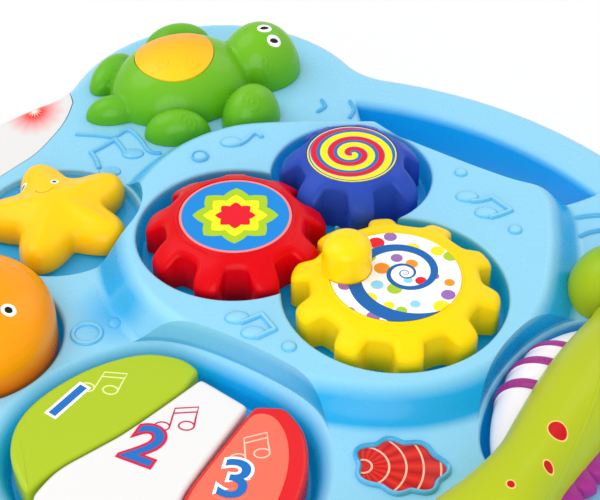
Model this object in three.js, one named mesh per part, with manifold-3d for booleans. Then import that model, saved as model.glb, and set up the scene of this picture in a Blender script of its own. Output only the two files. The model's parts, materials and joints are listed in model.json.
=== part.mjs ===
// A baby's activity table with a sea theme: a four-lobed housing on four legs, with a train of
// three toothed discs turned by a crank knob, three music keys, a spinning starfish, a fish that
// presses, a turtle with a press button in its shell, and a seahorse with a rolling belly.
// Millimetres, +Z up. The origin is on the floor below the table's centre, and the keys face -Y.
import * as THREE from "three";
import { mergeVertices } from "three/addons/utils/BufferGeometryUtils.js";
import Module from "manifold-3d";

const wasm = await Module();
wasm.setup();

// General clearances and walls
const fitGap = 0.3;
const overrun = 2;
const wall = 2.5;

// Housing
const discRadius = 196;
const sideBulge = 12;
const sideRimRadius = discRadius + sideBulge;
const lobeReachShare = 6 / 7;
const lobeRadiusShare = 19 / 49;
const lobeReach = discRadius * lobeReachShare;
const lobeRadius = discRadius * lobeRadiusShare;
const lobeFillet = 30;
const tableHeight = 257;
const housingDepth = 50;
const trayHeight = 15;
const edgeRound = 9;

// Raised middle that holds the toothed discs
const plateauRise = 13;
const plateauRound = 5;
const plateauFlare = 6;
const flareShare = 0.35;
const flareRiseShare = 0.16;
const quarterTurnShare = 1 - Math.SQRT1_2;
const plateauShares = [
  [0.439, 0.204], [0.429, 0.35], [0.388, 0.474], [0.337, 0.582], [0.27, 0.68], [0.14, 0.725],
  [-0.02, 0.735], [-0.17, 0.722], [-0.27, 0.665], [-0.385, 0.59], [-0.49, 0.5], [-0.545, 0.395],
  [-0.56, 0.28], [-0.535, 0.15], [-0.47, 0.025], [-0.375, -0.07], [-0.255, -0.128],
  [-0.1, -0.152], [0.06, -0.148], [0.2, -0.11], [0.325, -0.035], [0.41, 0.075],
];

// Toothed discs
const gearModule = 8;
const pressureAngle = (20 * Math.PI) / 180;
const toothBacklash = 0.9;
const toothRootGap = 1.2;
const toothTipRound = 2;
const flankMiddleShare = 0.35;
const gearRim = 1.5;
const crownPower = 1.5;
const crownMiddleShare = 0.5;
const wellDepth = 14;
const wellMargin = 3.5;
const gearFloorGap = 1;
const yellowX = 27.1;
const yellowY = 38.3;
const redBearing = (183.8 * Math.PI) / 180;
const blueBearing = (71.2 * Math.PI) / 180;
const redToothBearing = (5 * Math.PI) / 180;
const gearHubRadius = 6;
const gearSkin = 3;
const crownCeilingShare = 1 / 3;
const stickerThickness = 0.4;
const gearSpecs = {
  yellow: { teeth: 10, addendum: 3.3, rise: 7.9, drop: 5, stickerRadius: 26.7, color: 0xffd91a },
  red: { teeth: 9, addendum: 3.2, rise: 8.9, drop: 9, stickerRadius: 24, color: 0xe0152a },
  blue: { teeth: 7, addendum: 4.3, rise: 11.3, drop: 10, stickerRadius: 19.8, color: 0x2b449c },
};
const hubScrew = { headRadius: 9, headHeight: 2, radius: 2, length: 12 };

// Crank knob on the yellow disc
const knobOffset = 20.5;
const knobBearing = (199 * Math.PI) / 180;
const knobRadius = 10.3;
const knobHeight = 16.5;
const knobDome = 6;
const knobPinRadius = 2.2;
const knobPinHeadRadius = 4.5;
const knobPinHeadHeight = 1.8;
const knobPinInKnob = 10;

// Carry handle slot through the back rim
const handleInnerY = 133.5;
const handleBarRadius = 169;
const handleHalfSpan = (21.8 * Math.PI) / 180;
const handleBendShares = [
  [0.83, 0.3], [0.6, 0.06], [0.3, 0], [0, 0], [-0.3, 0.02], [-0.55, 0.12], [-0.8, 0.42],
];

// Music keys
const keysX = -4.5;
const keysY = -40;
const keysWidth = 118;
const keysLength = 92;
const keyHeight = 12;
const keyProud = 3.5;
const keyRound = 2.4;
const keyGap = 1;
const keyPitDepth = 13;
const keyPitRim = 5.5;
const keyPitGap = 1.4;
const keyStemRadius = 4;
const keyFootRadius = 2.5;
const keyFootInset = 9;
const keyFootLength = 10;
const keyFootShares = { green: -0.2, white: 0, red: 0.22 };
const keyPitLipShare = 0.3;
const greenOuterShares = [
  [-0.125, 0], [-0.216, 0.012], [-0.343, -0.049], [-0.449, -0.217], [-0.5, -0.435],
  [-0.487, -0.62], [-0.415, -0.766], [-0.3, -0.87],
];
const greenInnerShares = [
  [-0.262, -0.885], [-0.25, -0.72], [-0.205, -0.54], [-0.165, -0.38], [-0.115, -0.1],
];
const whiteLeftShares = [
  [-0.102, -0.03], [-0.165, -0.38], [-0.205, -0.54], [-0.25, -0.72], [-0.248, -0.88],
];
const whiteEndShares = [[-0.19, -0.955], [-0.06, -0.99], [0.08, -1], [0.205, -0.985]];
const whiteRightShares = [[0.24, -0.93], [0.165, -0.609], [0.14, -0.457], [0.108, -0.05]];
const redInnerShares = [[0.118, -0.04], [0.14, -0.457], [0.165, -0.609], [0.25, -0.95]];
const redOuterShares = [
  [0.31, -0.935], [0.41, -0.84], [0.479, -0.696], [0.5, -0.522], [0.467, -0.321], [0.411, -0.163],
  [0.321, -0.043], [0.21, 0.015],
];
const keyStemShares = { green: [-0.33, -0.47], white: [-0.04, -0.62], red: [0.31, -0.5] };

// Electronics
const boardThickness = 1.6;
const boardDrop = 9;
const boardWidth = 112;
const boardDepth = 54;
const boardPostRadius = 3;
const boardPostInset = 5;
const domeRadius = 6;
const domeTopRadius = 4;
const speakerRadius = 26;
const speakerRim = 2.5;
const speakerHeight = 13;
const speakerMagnetRadius = 14;
const speakerConeShare = 0.6;
const grilleRadius = 21;
const grillePitch = 6;
const grilleSlotWidth = 2.4;
const grilleSlots = 3;

// Starfish
const starPlaceShares = [-255 / 392, 9 / 196];
const [starX, starY] = starPlaceShares.map((share) => share * discRadius);
const starTip = 34.5;
const starValleyShare = 0.62;
const starThickness = 17;
const starSideShare = 0.42;
const starFootShare = 0.93;
const starFootRiseShare = 0.25;
const starArms = 5;
const starPoints = 40;
const starFirstArm = (3.6 * Math.PI) / 180;
const starRecessGap = 1.6;
const starRecessDepth = 4;
const starHubRadius = 6;

// Fish that presses
const fishPlaceShares = [-111 / 196, -17 / 49];
const [fishX, fishY] = fishPlaceShares.map((share) => share * discRadius);
const fishRadius = 35.5;
const fishWellGap = 2.2;
const fishWellDepth = 12;
const fishRise = 27;
const fishSkirt = 12;
const fishTravel = 4;
const fishStemRadius = 7;
const fishSkin = 2.5;
const fishSpringRadius = 11;
const fishSpringWire = 1.6;
const fishSpringShare = 0.55;

// Turtle: places and half sizes of its limbs are shares of its own half length
const turtlePlaceShares = [-5 / 7, 59 / 98];
const [turtleX, turtleY] = turtlePlaceShares.map((share) => share * discRadius);
const turtleBearing = (57 * Math.PI) / 180;
const turtleHalfWidth = 29;
const turtleHalfLength = 36;
const turtleHeight = 27;
const limbShares = {
  head: { ahead: 1.2, aside: 0, width: 0.57, length: 0.62, height: 0.75, turn: 0, across: 16, down: 10 },
  rightFlipper: { ahead: 0.63, aside: -1.0, width: 0.36, length: 0.45, height: 0.54, turn: 23 },
  rightFoot: { ahead: -0.42, aside: -0.92, width: 0.28, length: 0.46, height: 0.4, turn: -20 },
  tail: { ahead: -1.06, aside: -0.15, width: 0.24, length: 0.38, height: 0.3, turn: -12 },
  leftFoot: { ahead: -0.78, aside: 0.68, width: 0.25, length: 0.48, height: 0.32, turn: 38 },
  leftFlipper: { ahead: 0.29, aside: 0.94, width: 0.28, length: 0.5, height: 0.42, turn: -7 },
};
const buttonSides = 22;
const shellButtonRadius = 19;
const shellButtonDepth = 9;
const shellButtonAheadShare = -0.08;
const shellButtonTravel = 2;
const shellButtonStemRadius = 4;
const buttonSpringRadius = 6.5;
const buttonSpringWire = 1.2;

// Seahorse and its rolling belly
const rollerX = 104;
const rollerY = 32;
const rollerRadius = 20;
const rollerHalfLength = 42;
const rollerEndRadius = 5;
const rollerRib = 1.4;
const rollerRibHalfWidth = 2.6;
const rollerRibShares = [-0.31, 0, 0.31];
const ribCrestShare = 0.55;
const rollerPlainShares = [-1, -0.72, 0.72, 1];
const rollerGap = 1.5;
const rollerDrop = 3.5;
const bowlRadius = 28;
const bowlEndGap = 8;
const bowlHalfLength = rollerHalfLength + bowlEndGap;
const bowlEndRadius = 8;
const bowlShift = 3;
const axleRadius = 1.8;
const axleOverhang = 13;
const axleBlock = 6;
// Each station of the body: across and along from the roller's middle, half width and height,
// as shares of the roller's half length.
const seahorseShares = [
  [0.05, 1.12, 0.2, 0.34], [0.2, 0.8, 0.33, 0.52], [0.29, 0.36, 0.42, 0.68], [0.33, -0.16, 0.46, 0.74],
  [0.36, -0.7, 0.44, 0.73], [0.37, -1.22, 0.4, 0.7], [0.28, -1.74, 0.42, 0.68], [0.15, -2.2, 0.43, 0.64],
];
const seahorseSquareShare = 0.86;
const [bodyStart, bodyEnd] = [seahorseShares.at(0), seahorseShares.at(-1)];
const tailAside = 9.1;
const tailBehind = 12.96;
const tailX = rollerX + bodyStart[0] * rollerHalfLength - tailAside;
const tailY = rollerY + bodyStart[1] * rollerHalfLength + tailBehind;
const tailRadius = 17.5;
const tailHeight = 24;
const headAside = 4.3;
const headAhead = 19.6;
const headX = rollerX + bodyEnd[0] * rollerHalfLength - headAside;
const headY = rollerY + bodyEnd[1] * rollerHalfLength - headAhead;
const headHalfLength = 25;
const headHalfWidth = 21;
const headHeight = 32;
const headBearing = (222 * Math.PI) / 180;
const snoutRadius = 8.5;
const snoutHeight = 18;
const snoutReach = 32;
const finWidth = 5;
const finHeight = 12;
const finReach = 7;
const finScallops = 7;
const finFromShare = 0.2;
const finToShare = -1.7;
const finLowShare = 0.45;
const finEndPower = 0.6;

// Picture plate beside the keys
const plateX = 72;
const plateY = -33;
const plateRadius = 17;
const plateBearing = (33 * Math.PI) / 180;
const plateRidge = 1;
const plateRidgeWidth = 1.6;
const plateLobes = 7;
const plateBodyShare = 0.86;
const plateLobeShare = 0.07;
const plateLongShare = 0.12;

// Side lamp on the left rim
const lampWidth = 37;
const lampInnerRadius = sideRimRadius - lampWidth;
const lampHalfSpan = 25.8;
const lampEdgeShares = [
  [0, 0], [0.18, 0], [0.36, 0.003], [0.54, 0.044], [0.76, 0.254], [0.87, 0.44], [0.955, 0.66],
];
const lampDepth = 22;
const lampWall = 1.8;
const lampGap = 0.5;
const ledRadius = 3.5;
const ledHeight = 10;
const ledFlange = 0.8;
const ledTipShare = 0.7;
const ledTipDropShare = 0.3;
const ledInset = 23.5;
const ledYShare = 33 / 98;
const ledX = ledInset - sideRimRadius;
const ledY = ledYShare * discRadius;

// Legs
const legOutset = 4;
const legReach = lobeReach + legOutset;
const legTopRadius = 23;
const legBottomRadius = 16;
const legWall = 2.5;
const legSpigotRadius = 15;
const legSpigotHeight = 24;
const footRadius = 20;
const footHeight = 14;
const footFloor = 4;
const footEdge = 1;
const footGrip = 1.5;

// Battery compartment, three cells side by side
const cellRadius = 7.25;
const cellLength = 50.5;
const cellGap = 0.8;
const cellEndSpace = 4;
const batteryX = 0;
const batteryY = 62;
const doorThickness = 2.4;
const doorLip = 3;

// Power switch in the floor of the housing
const switchX = 78;
const switchY = 20;
const switchTravel = 6;
const switchKnobLength = 7;
const switchKnobWidth = 5;
const switchPlateLength = 20;
const switchPlateWidth = 11;
const switchPlateThickness = 3;
const switchProud = 2;
const switchRail = 2;

// Housing screws
const housingScrew = { headRadius: 3.4, headHeight: 2.4, radius: 1.6, length: 12 };
const screwEndGap = 1;
const screwBossRadius = 4.5;
const screwShares = [
  [0.434, 0.765], [-0.434, 0.765], [0.776, 0.255], [0.776, -0.255], [-0.776, 0.27],
  [-0.79, -0.194], [0.398, -0.806], [-0.398, -0.806],
];

// Levels, worked out from the sizes above
const housingBottom = tableHeight - housingDepth;
const splitLevel = housingBottom + trayHeight;
const plateauLevel = tableHeight + plateauRise;
const wellFloor = plateauLevel - wellDepth;
const pitFloor = tableHeight - keyPitDepth;
const boardTop = pitFloor - boardDrop;
const trayFloor = housingBottom + wall;
const rollerLevel = tableHeight - rollerDrop;
const screwSeat = splitLevel - fitGap - wall;
const screwPlaces = screwShares.map((place) => place.map((share) => share * discRadius));

// Ribs and posts of the cover are rooted in the middle of its floor.
const floorRoot = trayFloor - wall / 2;

// Solids and meshes
const root = new THREE.Group();

function solid(geometry) {
  const bare = new THREE.BufferGeometry();
  bare.setAttribute("position", geometry.getAttribute("position"));
  bare.setIndex(geometry.index);
  const merged = mergeVertices(bare, 1e-4);
  const kept = [];
  const index = merged.index.array;
  for (let i = 0; i < index.length; i += 3) {
    const [a, b, c] = [index[i], index[i + 1], index[i + 2]];
    if (a !== b && b !== c && c !== a) kept.push(a, b, c);
  }
  return new wasm.Manifold(
    new wasm.Mesh({
      numProp: 3,
      vertProperties: new Float32Array(merged.getAttribute("position").array),
      triVerts: new Uint32Array(kept),
    }),
  );
}

function geometryOf(made) {
  const mesh = made.getMesh();
  const points = new Float32Array(mesh.numVert * 3);
  for (let i = 0; i < mesh.numVert; i++) {
    for (let k = 0; k < 3; k++) points[i * 3 + k] = mesh.vertProperties[i * mesh.numProp + k];
  }
  const geometry = new THREE.BufferGeometry();
  geometry.setAttribute("position", new THREE.BufferAttribute(points, 3));
  geometry.setIndex(new THREE.BufferAttribute(new Uint32Array(mesh.triVerts), 1));
  geometry.computeVertexNormals();
  return geometry;
}

function joined(parts) {
  return parts.reduce((all, part) => all.add(part));
}

function addPiece(name, made, color, roughness = 0.35, metalness = 0) {
  const material = new THREE.MeshStandardMaterial({ color, roughness, metalness });
  const mesh = new THREE.Mesh(geometryOf(made), material);
  mesh.name = name;
  root.add(mesh);
}

function cylinder(x, y, low, high, radius, sides) {
  const geometry = new THREE.CylinderGeometry(radius, radius, high - low, sides);
  geometry.rotateX(Math.PI / 2);
  geometry.translate(x, y, (low + high) / 2);
  return solid(geometry);
}

function box(x, y, low, high, width, depth) {
  const geometry = new THREE.BoxGeometry(width, depth, high - low);
  geometry.translate(x, y, (low + high) / 2);
  return solid(geometry);
}

// A screw driven in from below: its head under the seat, and a plain shank up from it.
function screw(x, y, seat, size) {
  const head = cylinder(x, y, seat - size.headHeight, seat, size.headRadius, 10);
  const shank = cylinder(x, y, seat - size.headHeight / 2, seat + size.length, size.radius, 6);
  return head.add(shank);
}

// The hole for a screw's shank, from below its seat to just past its tip.
function pilotHole(x, y, seat, size) {
  return cylinder(x, y, seat - overrun, seat + size.length + screwEndGap, size.radius + fitGap, 6);
}

// A profile of [radius, height] pairs, from the axis at the bottom to the axis at the top.
function revolved(profile, sides = 40) {
  const points = profile.map(([radius, height]) => new THREE.Vector2(radius, height));
  const geometry = new THREE.LatheGeometry(points, sides);
  geometry.rotateX(Math.PI / 2);
  return solid(geometry);
}

function prism(points, low, high) {
  const geometry = new THREE.ExtrudeGeometry(new THREE.Shape(points), {
    depth: high - low,
    bevelEnabled: false,
  });
  geometry.translate(0, 0, low);
  return solid(geometry);
}

// An extruded outline whose top and bottom edges are rounded inwards.
function pillow(points, low, high, round, steps = 2) {
  const geometry = new THREE.ExtrudeGeometry(new THREE.Shape(points), {
    depth: high - low - 2 * round,
    bevelEnabled: true,
    bevelThickness: round,
    bevelSize: round,
    bevelOffset: -round,
    bevelSegments: steps,
  });
  geometry.translate(0, 0, low + round);
  return solid(geometry);
}

function ellipsoid(halfX, halfY, halfZ, across = 20, down = 12) {
  const geometry = new THREE.SphereGeometry(1, across, down);
  geometry.rotateX(Math.PI / 2);
  geometry.scale(halfX, halfY, halfZ);
  return solid(geometry);
}

// Joins rings of equal counts, given from the lowest up and counter-clockwise, with flat caps.
function loft(rings) {
  const count = rings[0].length;
  const positions = rings.flatMap((ring) => ring.flatMap((p) => [p.x, p.y, p.z]));
  const faces = [];
  for (let level = 0; level + 1 < rings.length; level++) {
    for (let i = 0; i < count; i++) {
      const next = (i + 1) % count;
      const a = level * count + i;
      const b = level * count + next;
      const c = (level + 1) * count + next;
      const d = (level + 1) * count + i;
      faces.push(a, b, c, a, c, d);
    }
  }
  const lastStart = (rings.length - 1) * count;
  const capFaces = (ring, start, up) => {
    for (const [a, b, c] of THREE.ShapeUtils.triangulateShape(ring, [])) {
      const turn =
        (ring[b].x - ring[a].x) * (ring[c].y - ring[a].y) -
        (ring[b].y - ring[a].y) * (ring[c].x - ring[a].x);
      const forward = turn > 0 === up;
      faces.push(start + a, start + (forward ? b : c), start + (forward ? c : b));
    }
  };
  capFaces(rings[0], 0, false);
  capFaces(rings[rings.length - 1], lastStart, true);
  const geometry = new THREE.BufferGeometry();
  geometry.setAttribute("position", new THREE.Float32BufferAttribute(positions, 3));
  geometry.setIndex(faces);
  return solid(geometry);
}

const lift = (points, z) => points.map((p) => new THREE.Vector3(p.x, p.y, z));

function arc(x, y, radius, from, to, steps) {
  const points = [];
  for (let i = 0; i < steps; i++) {
    const angle = from + ((to - from) * i) / steps;
    points.push(new THREE.Vector2(x + radius * Math.cos(angle), y + radius * Math.sin(angle)));
  }
  return points;
}

function smoothLoop(pairs, count) {
  const knots = pairs.map(([x, y]) => new THREE.Vector3(x, y, 0));
  const curve = new THREE.CatmullRomCurve3(knots, true, "centripetal");
  return curve.getPoints(count).slice(0, -1).map((p) => new THREE.Vector2(p.x, p.y));
}

function smoothLine(pairs, count) {
  const curve = new THREE.SplineCurve(pairs.map(([x, y]) => new THREE.Vector2(x, y)));
  return curve.getPoints(count);
}

// Moves each point of a counter-clockwise loop outwards along its normal.
function grown(points, distance) {
  return points.map((p, i) => {
    const before = points[(i + points.length - 1) % points.length];
    const after = points[(i + 1) % points.length];
    const along = after.clone().sub(before).normalize();
    return new THREE.Vector2(p.x + along.y * distance, p.y - along.x * distance);
  });
}

// How a lobe's outline runs into the rim beside it, through a concave fillet.
function filletBeside(rimRadius) {
  const reach = rimRadius + lobeFillet;
  const lobeToFillet = lobeRadius + lobeFillet;
  const atCenter = Math.acos(
    (reach ** 2 + lobeReach ** 2 - lobeToFillet ** 2) / (2 * reach * lobeReach),
  );
  const atLobe = Math.acos(
    (lobeToFillet ** 2 + lobeReach ** 2 - reach ** 2) / (2 * lobeToFillet * lobeReach),
  );
  return { rimRadius, reach, atCenter, lobeHalf: Math.PI - atLobe };
}

// The rims that follow the back right, back left, front left and front right lobe.
const rimRadii = [discRadius, sideRimRadius, discRadius, sideRimRadius];

// The four-lobed outline of the housing, drawn inset by a distance.
function housingRing(inset, lobeSteps = 8, rimSteps = 6) {
  const sides = rimRadii.map(filletBeside);
  const points = [];
  sides.forEach((after, k) => {
    const before = sides.at(k - 1);
    const axis = Math.PI / 4 + (k * Math.PI) / 2;
    const [lobeX, lobeY] = [lobeReach * Math.cos(axis), lobeReach * Math.sin(axis)];
    const [atIn, atOut] = [axis - before.atCenter, axis + after.atCenter];
    const [lobeIn, lobeOut] = [axis - before.lobeHalf, axis + after.lobeHalf];
    const filletIn = [before.reach * Math.cos(atIn), before.reach * Math.sin(atIn)];
    const filletOut = [after.reach * Math.cos(atOut), after.reach * Math.sin(atOut)];
    const fillet = lobeFillet + inset;
    points.push(...arc(...filletIn, fillet, atIn + Math.PI, lobeIn + Math.PI, 2));
    points.push(...arc(lobeX, lobeY, lobeRadius - inset, lobeIn, lobeOut, lobeSteps));
    points.push(...arc(...filletOut, fillet, lobeOut - Math.PI, atOut - Math.PI, 2));
    const rimEnd = axis + Math.PI / 2 - after.atCenter;
    points.push(...arc(0, 0, after.rimRadius - inset, atOut, rimEnd, rimSteps));
  });
  return points;
}

// Steps of a lobe and of a rim arc on the unseen inner walls.
const innerCounts = [5, 3];

// Rings of the housing from one level up to a rounded top edge.
function housingTop(inset, low, high, round, steps, counts = []) {
  const rings = [lift(housingRing(inset, ...counts), low)];
  for (let i = 0; i <= steps; i++) {
    const turn = ((Math.PI / 2) * i) / steps;
    const inwards = inset + round * (1 - Math.cos(turn));
    rings.push(lift(housingRing(inwards, ...counts), high - round + round * Math.sin(turn)));
  }
  return loft(rings);
}

function housingBottomPart(inset, low, high, round, steps, counts = []) {
  const rings = [];
  for (let i = 0; i <= steps; i++) {
    const turn = ((Math.PI / 2) * i) / steps;
    const inwards = inset + round * (1 - Math.sin(turn));
    rings.push(lift(housingRing(inwards, ...counts), low + round * (1 - Math.cos(turn))));
  }
  rings.push(lift(housingRing(inset, ...counts), high));
  return loft(rings);
}

// Toothed discs
const gears = placeGears();

function placeGears() {
  const placed = {};
  for (const [name, spec] of Object.entries(gearSpecs)) {
    const pitch = (gearModule * spec.teeth) / 2;
    placed[name] = { ...spec, name, pitch, tip: pitch + spec.addendum };
  }
  const { yellow, red, blue } = placed;
  yellow.x = yellowX;
  yellow.y = yellowY;
  const redDistance = yellow.pitch + red.pitch;
  red.x = yellow.x + redDistance * Math.cos(redBearing);
  red.y = yellow.y + redDistance * Math.sin(redBearing);
  const blueDistance = red.pitch + blue.pitch;
  blue.x = red.x + blueDistance * Math.cos(blueBearing);
  blue.y = red.y + blueDistance * Math.sin(blueBearing);
  const deepest = (gear, mates) =>
    Math.min(...mates.map((mate) => gear.pitch - mate.addendum - toothRootGap));
  yellow.root = deepest(yellow, [red]);
  red.root = deepest(red, [yellow, blue]);
  blue.root = deepest(blue, [red]);
  red.phase = redToothBearing;
  yellow.phase = matingPhase(red, yellow, redBearing + Math.PI);
  blue.phase = matingPhase(red, blue, blueBearing);
  for (const gear of Object.values(placed)) gear.well = gear.tip + wellMargin;
  return placed;
}

// The bearing of a tooth of the driven disc that puts it in mesh with the driver.
function matingPhase(driver, driven, bearing) {
  const driverPitch = (2 * Math.PI) / driver.teeth;
  const pastValley = bearing - (driver.phase + driverPitch / 2);
  return bearing + Math.PI + (pastValley * driver.teeth) / driven.teeth;
}

// Involute teeth, as [radius, bearing] pairs. The tips are cut to a chamfer.
function gearOutline(gear) {
  const baseRadius = gear.pitch * Math.cos(pressureAngle);
  const involute = (angle) => Math.tan(angle) - angle;
  const toothThickness = (Math.PI * gearModule) / 2 - toothBacklash;
  const halfAtPitch = toothThickness / (2 * gear.pitch) + involute(pressureAngle);
  const halfAngle = (radius) =>
    halfAtPitch - involute(Math.acos(Math.min(1, baseRadius / Math.max(radius, baseRadius))));
  const flankTop = gear.tip - toothTipRound;
  const flankLow = Math.max(gear.root, baseRadius);
  const radii = [gear.root, flankLow + (flankTop - flankLow) * flankMiddleShare, flankTop];
  const tipHalf = halfAngle(flankTop) - toothTipRound / gear.tip;
  const flank = radii.map((radius) => [radius, halfAngle(radius)]);
  const side = [...flank, [gear.tip, tipHalf]];
  const tooth = [
    ...side.map(([radius, angle]) => [radius, -angle]),
    ...side.reverse(),
    [gear.root, Math.PI / gear.teeth],
  ];
  const points = [];
  for (let i = 0; i < gear.teeth; i++) {
    const axis = gear.phase + (2 * Math.PI * i) / gear.teeth;
    points.push(...tooth.map(([radius, angle]) => [radius, axis + angle]));
  }
  return points;
}

function gearLevels(gear) {
  const low = wellFloor + gearFloorGap;
  const high = plateauLevel + gear.rise - stickerThickness;
  return { low, high };
}

// The crown falls away from the sticker's edge, steeper towards the tips of the teeth.
function gearSolid(gear) {
  const { low, high } = gearLevels(gear);
  const outline = gearOutline(gear);
  const flat = gear.stickerRadius + gearRim;
  const crown = (radius) => high - gear.drop * ((radius - flat) / (gear.tip - flat)) ** crownPower;
  const ring = (share, level) =>
    outline.map(([radius, angle]) => {
      const reach = flat + (radius - flat) * share;
      const z = level ?? crown(reach);
      return new THREE.Vector3(gear.x + reach * Math.cos(angle), gear.y + reach * Math.sin(angle), z);
    });
  const body = loft([ring(1, low), ring(1), ring(crownMiddleShare), ring(0)]);
  const underside = wellFloor - wall - fitGap;
  const hub = cylinder(gear.x, gear.y, underside, low + overrun, gearHubRadius, 12);
  const ceiling = high - gearSkin - gear.drop * crownCeilingShare;
  const hollow = cylinder(gear.x, gear.y, low - overrun, ceiling, gear.root - gearSkin, 14);
  const core = cylinder(gear.x, gear.y, low - 2 * overrun, high, gearHubRadius + gearSkin, 10);
  const pilot = pilotHole(gear.x, gear.y, underside - fitGap, hubScrew);
  const made = body.subtract(hollow.subtract(core)).add(hub).subtract(pilot);
  return gear.name === "yellow" ? withKnobSeat(made, gear) : made;
}

const knobX = yellowX + knobOffset * Math.cos(knobBearing);
const knobY = yellowY + knobOffset * Math.sin(knobBearing);

// The pin passes through a boss that fills the hollow below the knob.
function withKnobSeat(made, gear) {
  const { low, high } = gearLevels(gear);
  const hollowTop = high - gearSkin - gear.drop * crownCeilingShare;
  const bossLow = low + knobPinHeadHeight + gearFloorGap + fitGap;
  const boss = cylinder(knobX, knobY, bossLow, hollowTop + overrun / 2, knobPinHeadRadius + fitGap, 14);
  const bore = cylinder(knobX, knobY, low - overrun, high + overrun, knobPinRadius + fitGap, 10);
  return made.add(boss).subtract(bore);
}

function buildGears() {
  for (const gear of Object.values(gears)) {
    addPiece(`${gear.name}_gear`, gearSolid(gear), gear.color, 0.3);
    const { high } = gearLevels(gear);
    let disc = cylinder(gear.x, gear.y, high + fitGap / 3, high + stickerThickness, gear.stickerRadius, 28);
    if (gear.name === "yellow") {
      const notch = cylinder(knobX, knobY, high - overrun, high + overrun, knobRadius + fitGap, 18);
      disc = disc.subtract(notch);
    }
    addPiece(`${gear.name}_gear_sticker`, disc, 0xffffff, 0.4);
    const made = screw(gear.x, gear.y, wellFloor - wall - 2 * fitGap, hubScrew);
    addPiece(`${gear.name}_gear_screw`, made, 0xb8bcc0, 0.3, 0.9);
  }
}

function buildKnob() {
  const { low, high } = gearLevels(gears.yellow);
  const seat = high + fitGap;
  const top = seat + knobHeight;
  const side = top - knobDome;
  const profile = [[0, seat], [knobRadius, seat], [knobRadius, side]];
  for (const turn of [22.5, 45, 67.5].map((degrees) => (degrees * Math.PI) / 180)) {
    profile.push([knobRadius * Math.cos(turn), side + knobDome * Math.sin(turn)]);
  }
  profile.push([0, top]);
  const boreTop = seat + knobPinInKnob + fitGap;
  const bore = cylinder(knobX, knobY, seat - overrun, boreTop, knobPinRadius + fitGap, 10);
  const body = revolved(profile, 20).translate([knobX, knobY, 0]).subtract(bore);
  addPiece("crank_knob", body, 0xffd91a, 0.3);
  const pinTop = seat + knobPinInKnob;
  const headLow = low + gearFloorGap;
  const head = cylinder(knobX, knobY, headLow, headLow + knobPinHeadHeight, knobPinHeadRadius, 10);
  const shank = cylinder(knobX, knobY, headLow + knobPinHeadHeight / 2, pinTop, knobPinRadius, 8);
  addPiece("crank_knob_pin", head.add(shank), 0xb8bcc0, 0.3, 0.9);
}

// Raised middle
function plateauRing(outwards, level) {
  const pairs = plateauShares.map(([x, y]) => [x * discRadius, y * discRadius]);
  return lift(grown(smoothLoop(pairs, 44), outwards), level);
}

function plateauSolid(extra = 0) {
  const round = plateauRound;
  const bend = round * quarterTurnShare;
  return loft([
    plateauRing(plateauFlare + extra, tableHeight - wall),
    plateauRing(plateauFlare + extra, tableHeight + extra),
    plateauRing(plateauFlare * flareShare + extra, tableHeight + plateauRise * flareRiseShare + extra),
    plateauRing(extra, plateauLevel - round + extra),
    plateauRing(extra - bend, plateauLevel - bend + extra),
    plateauRing(-round + extra, plateauLevel + extra),
  ]);
}

function plateauHollow() {
  return loft([
    plateauRing(-wall, tableHeight - wall - overrun),
    plateauRing(-wall, plateauLevel - wall - plateauRound / 2),
    plateauRing(-wall - plateauRound / 2, plateauLevel - wall),
  ]);
}

// Handle slot
function slotRing() {
  const tip = handleBarRadius * Math.sin(handleHalfSpan);
  const tipY = handleBarRadius * Math.cos(handleHalfSpan);
  const outer = arc(0, 0, handleBarRadius, Math.PI / 2 - handleHalfSpan, Math.PI / 2 + handleHalfSpan, 8);
  const bend = handleBendShares
    .map(([x, y]) => [x * tip, handleInnerY + y * (tipY - handleInnerY)])
    .reverse();
  const inner = smoothLine([[-tip, tipY], ...bend, [tip, tipY]], 12);
  return [...outer, ...inner.slice(0, -1)];
}

// Keys
const keyPoint = ([x, y]) => [keysX + x * keysWidth, keysY + y * keysLength];

function keyOutline(sides, counts) {
  return sides.flatMap((side, i) => smoothLine(side.map(keyPoint), counts[i]));
}

const keyOutlines = {
  green: keyOutline([greenOuterShares, greenInnerShares], [14, 4]),
  white: keyOutline([whiteLeftShares, whiteEndShares, whiteRightShares], [4, 4, 4]),
  red: keyOutline([redInnerShares, redOuterShares], [4, 14]),
};

function keysRing(outwards) {
  const pairs = [
    ...greenOuterShares.slice(1),
    ...whiteEndShares.slice(1, 3),
    ...redOuterShares,
  ].map(keyPoint);
  return grown(smoothLoop(pairs, 32), outwards);
}

function stemPlace(name) {
  return keyPoint(keyStemShares[name]);
}

function buildKeys() {
  const colors = { green: 0xb5cc2e, white: 0xf4f2f2, red: 0xe8252c };
  const top = tableHeight + keyProud;
  const low = top - keyHeight;
  for (const [name, outline] of Object.entries(keyOutlines)) {
    const cap = pillow(grown(outline, -keyGap / 2), low, top, keyRound);
    const [x, y] = stemPlace(name);
    const stem = cylinder(x, y, pitFloor - wall - fitGap, low + keyRound, keyStemRadius, 10);
    const foot = keyFoot(name, low);
    addPiece(`${name}_key`, cap.add(stem).add(foot), colors[name], 0.3);
    const domeTop = pitFloor - wall - 2 * fitGap;
    const dome = revolved(
      [
        [0, boardTop + fitGap],
        [domeRadius, boardTop + fitGap],
        [domeTopRadius, domeTop],
        [0, domeTop],
      ],
      10,
    ).translate([x, y, 0]);
    addPiece(`${name}_key_dome`, dome, 0xd8d4c8, 0.8);
  }
}

// The key tips on a rounded foot at its inner end.
function keyFootPlace(name) {
  return keysX + keyFootShares[name] * keysWidth;
}

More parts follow.
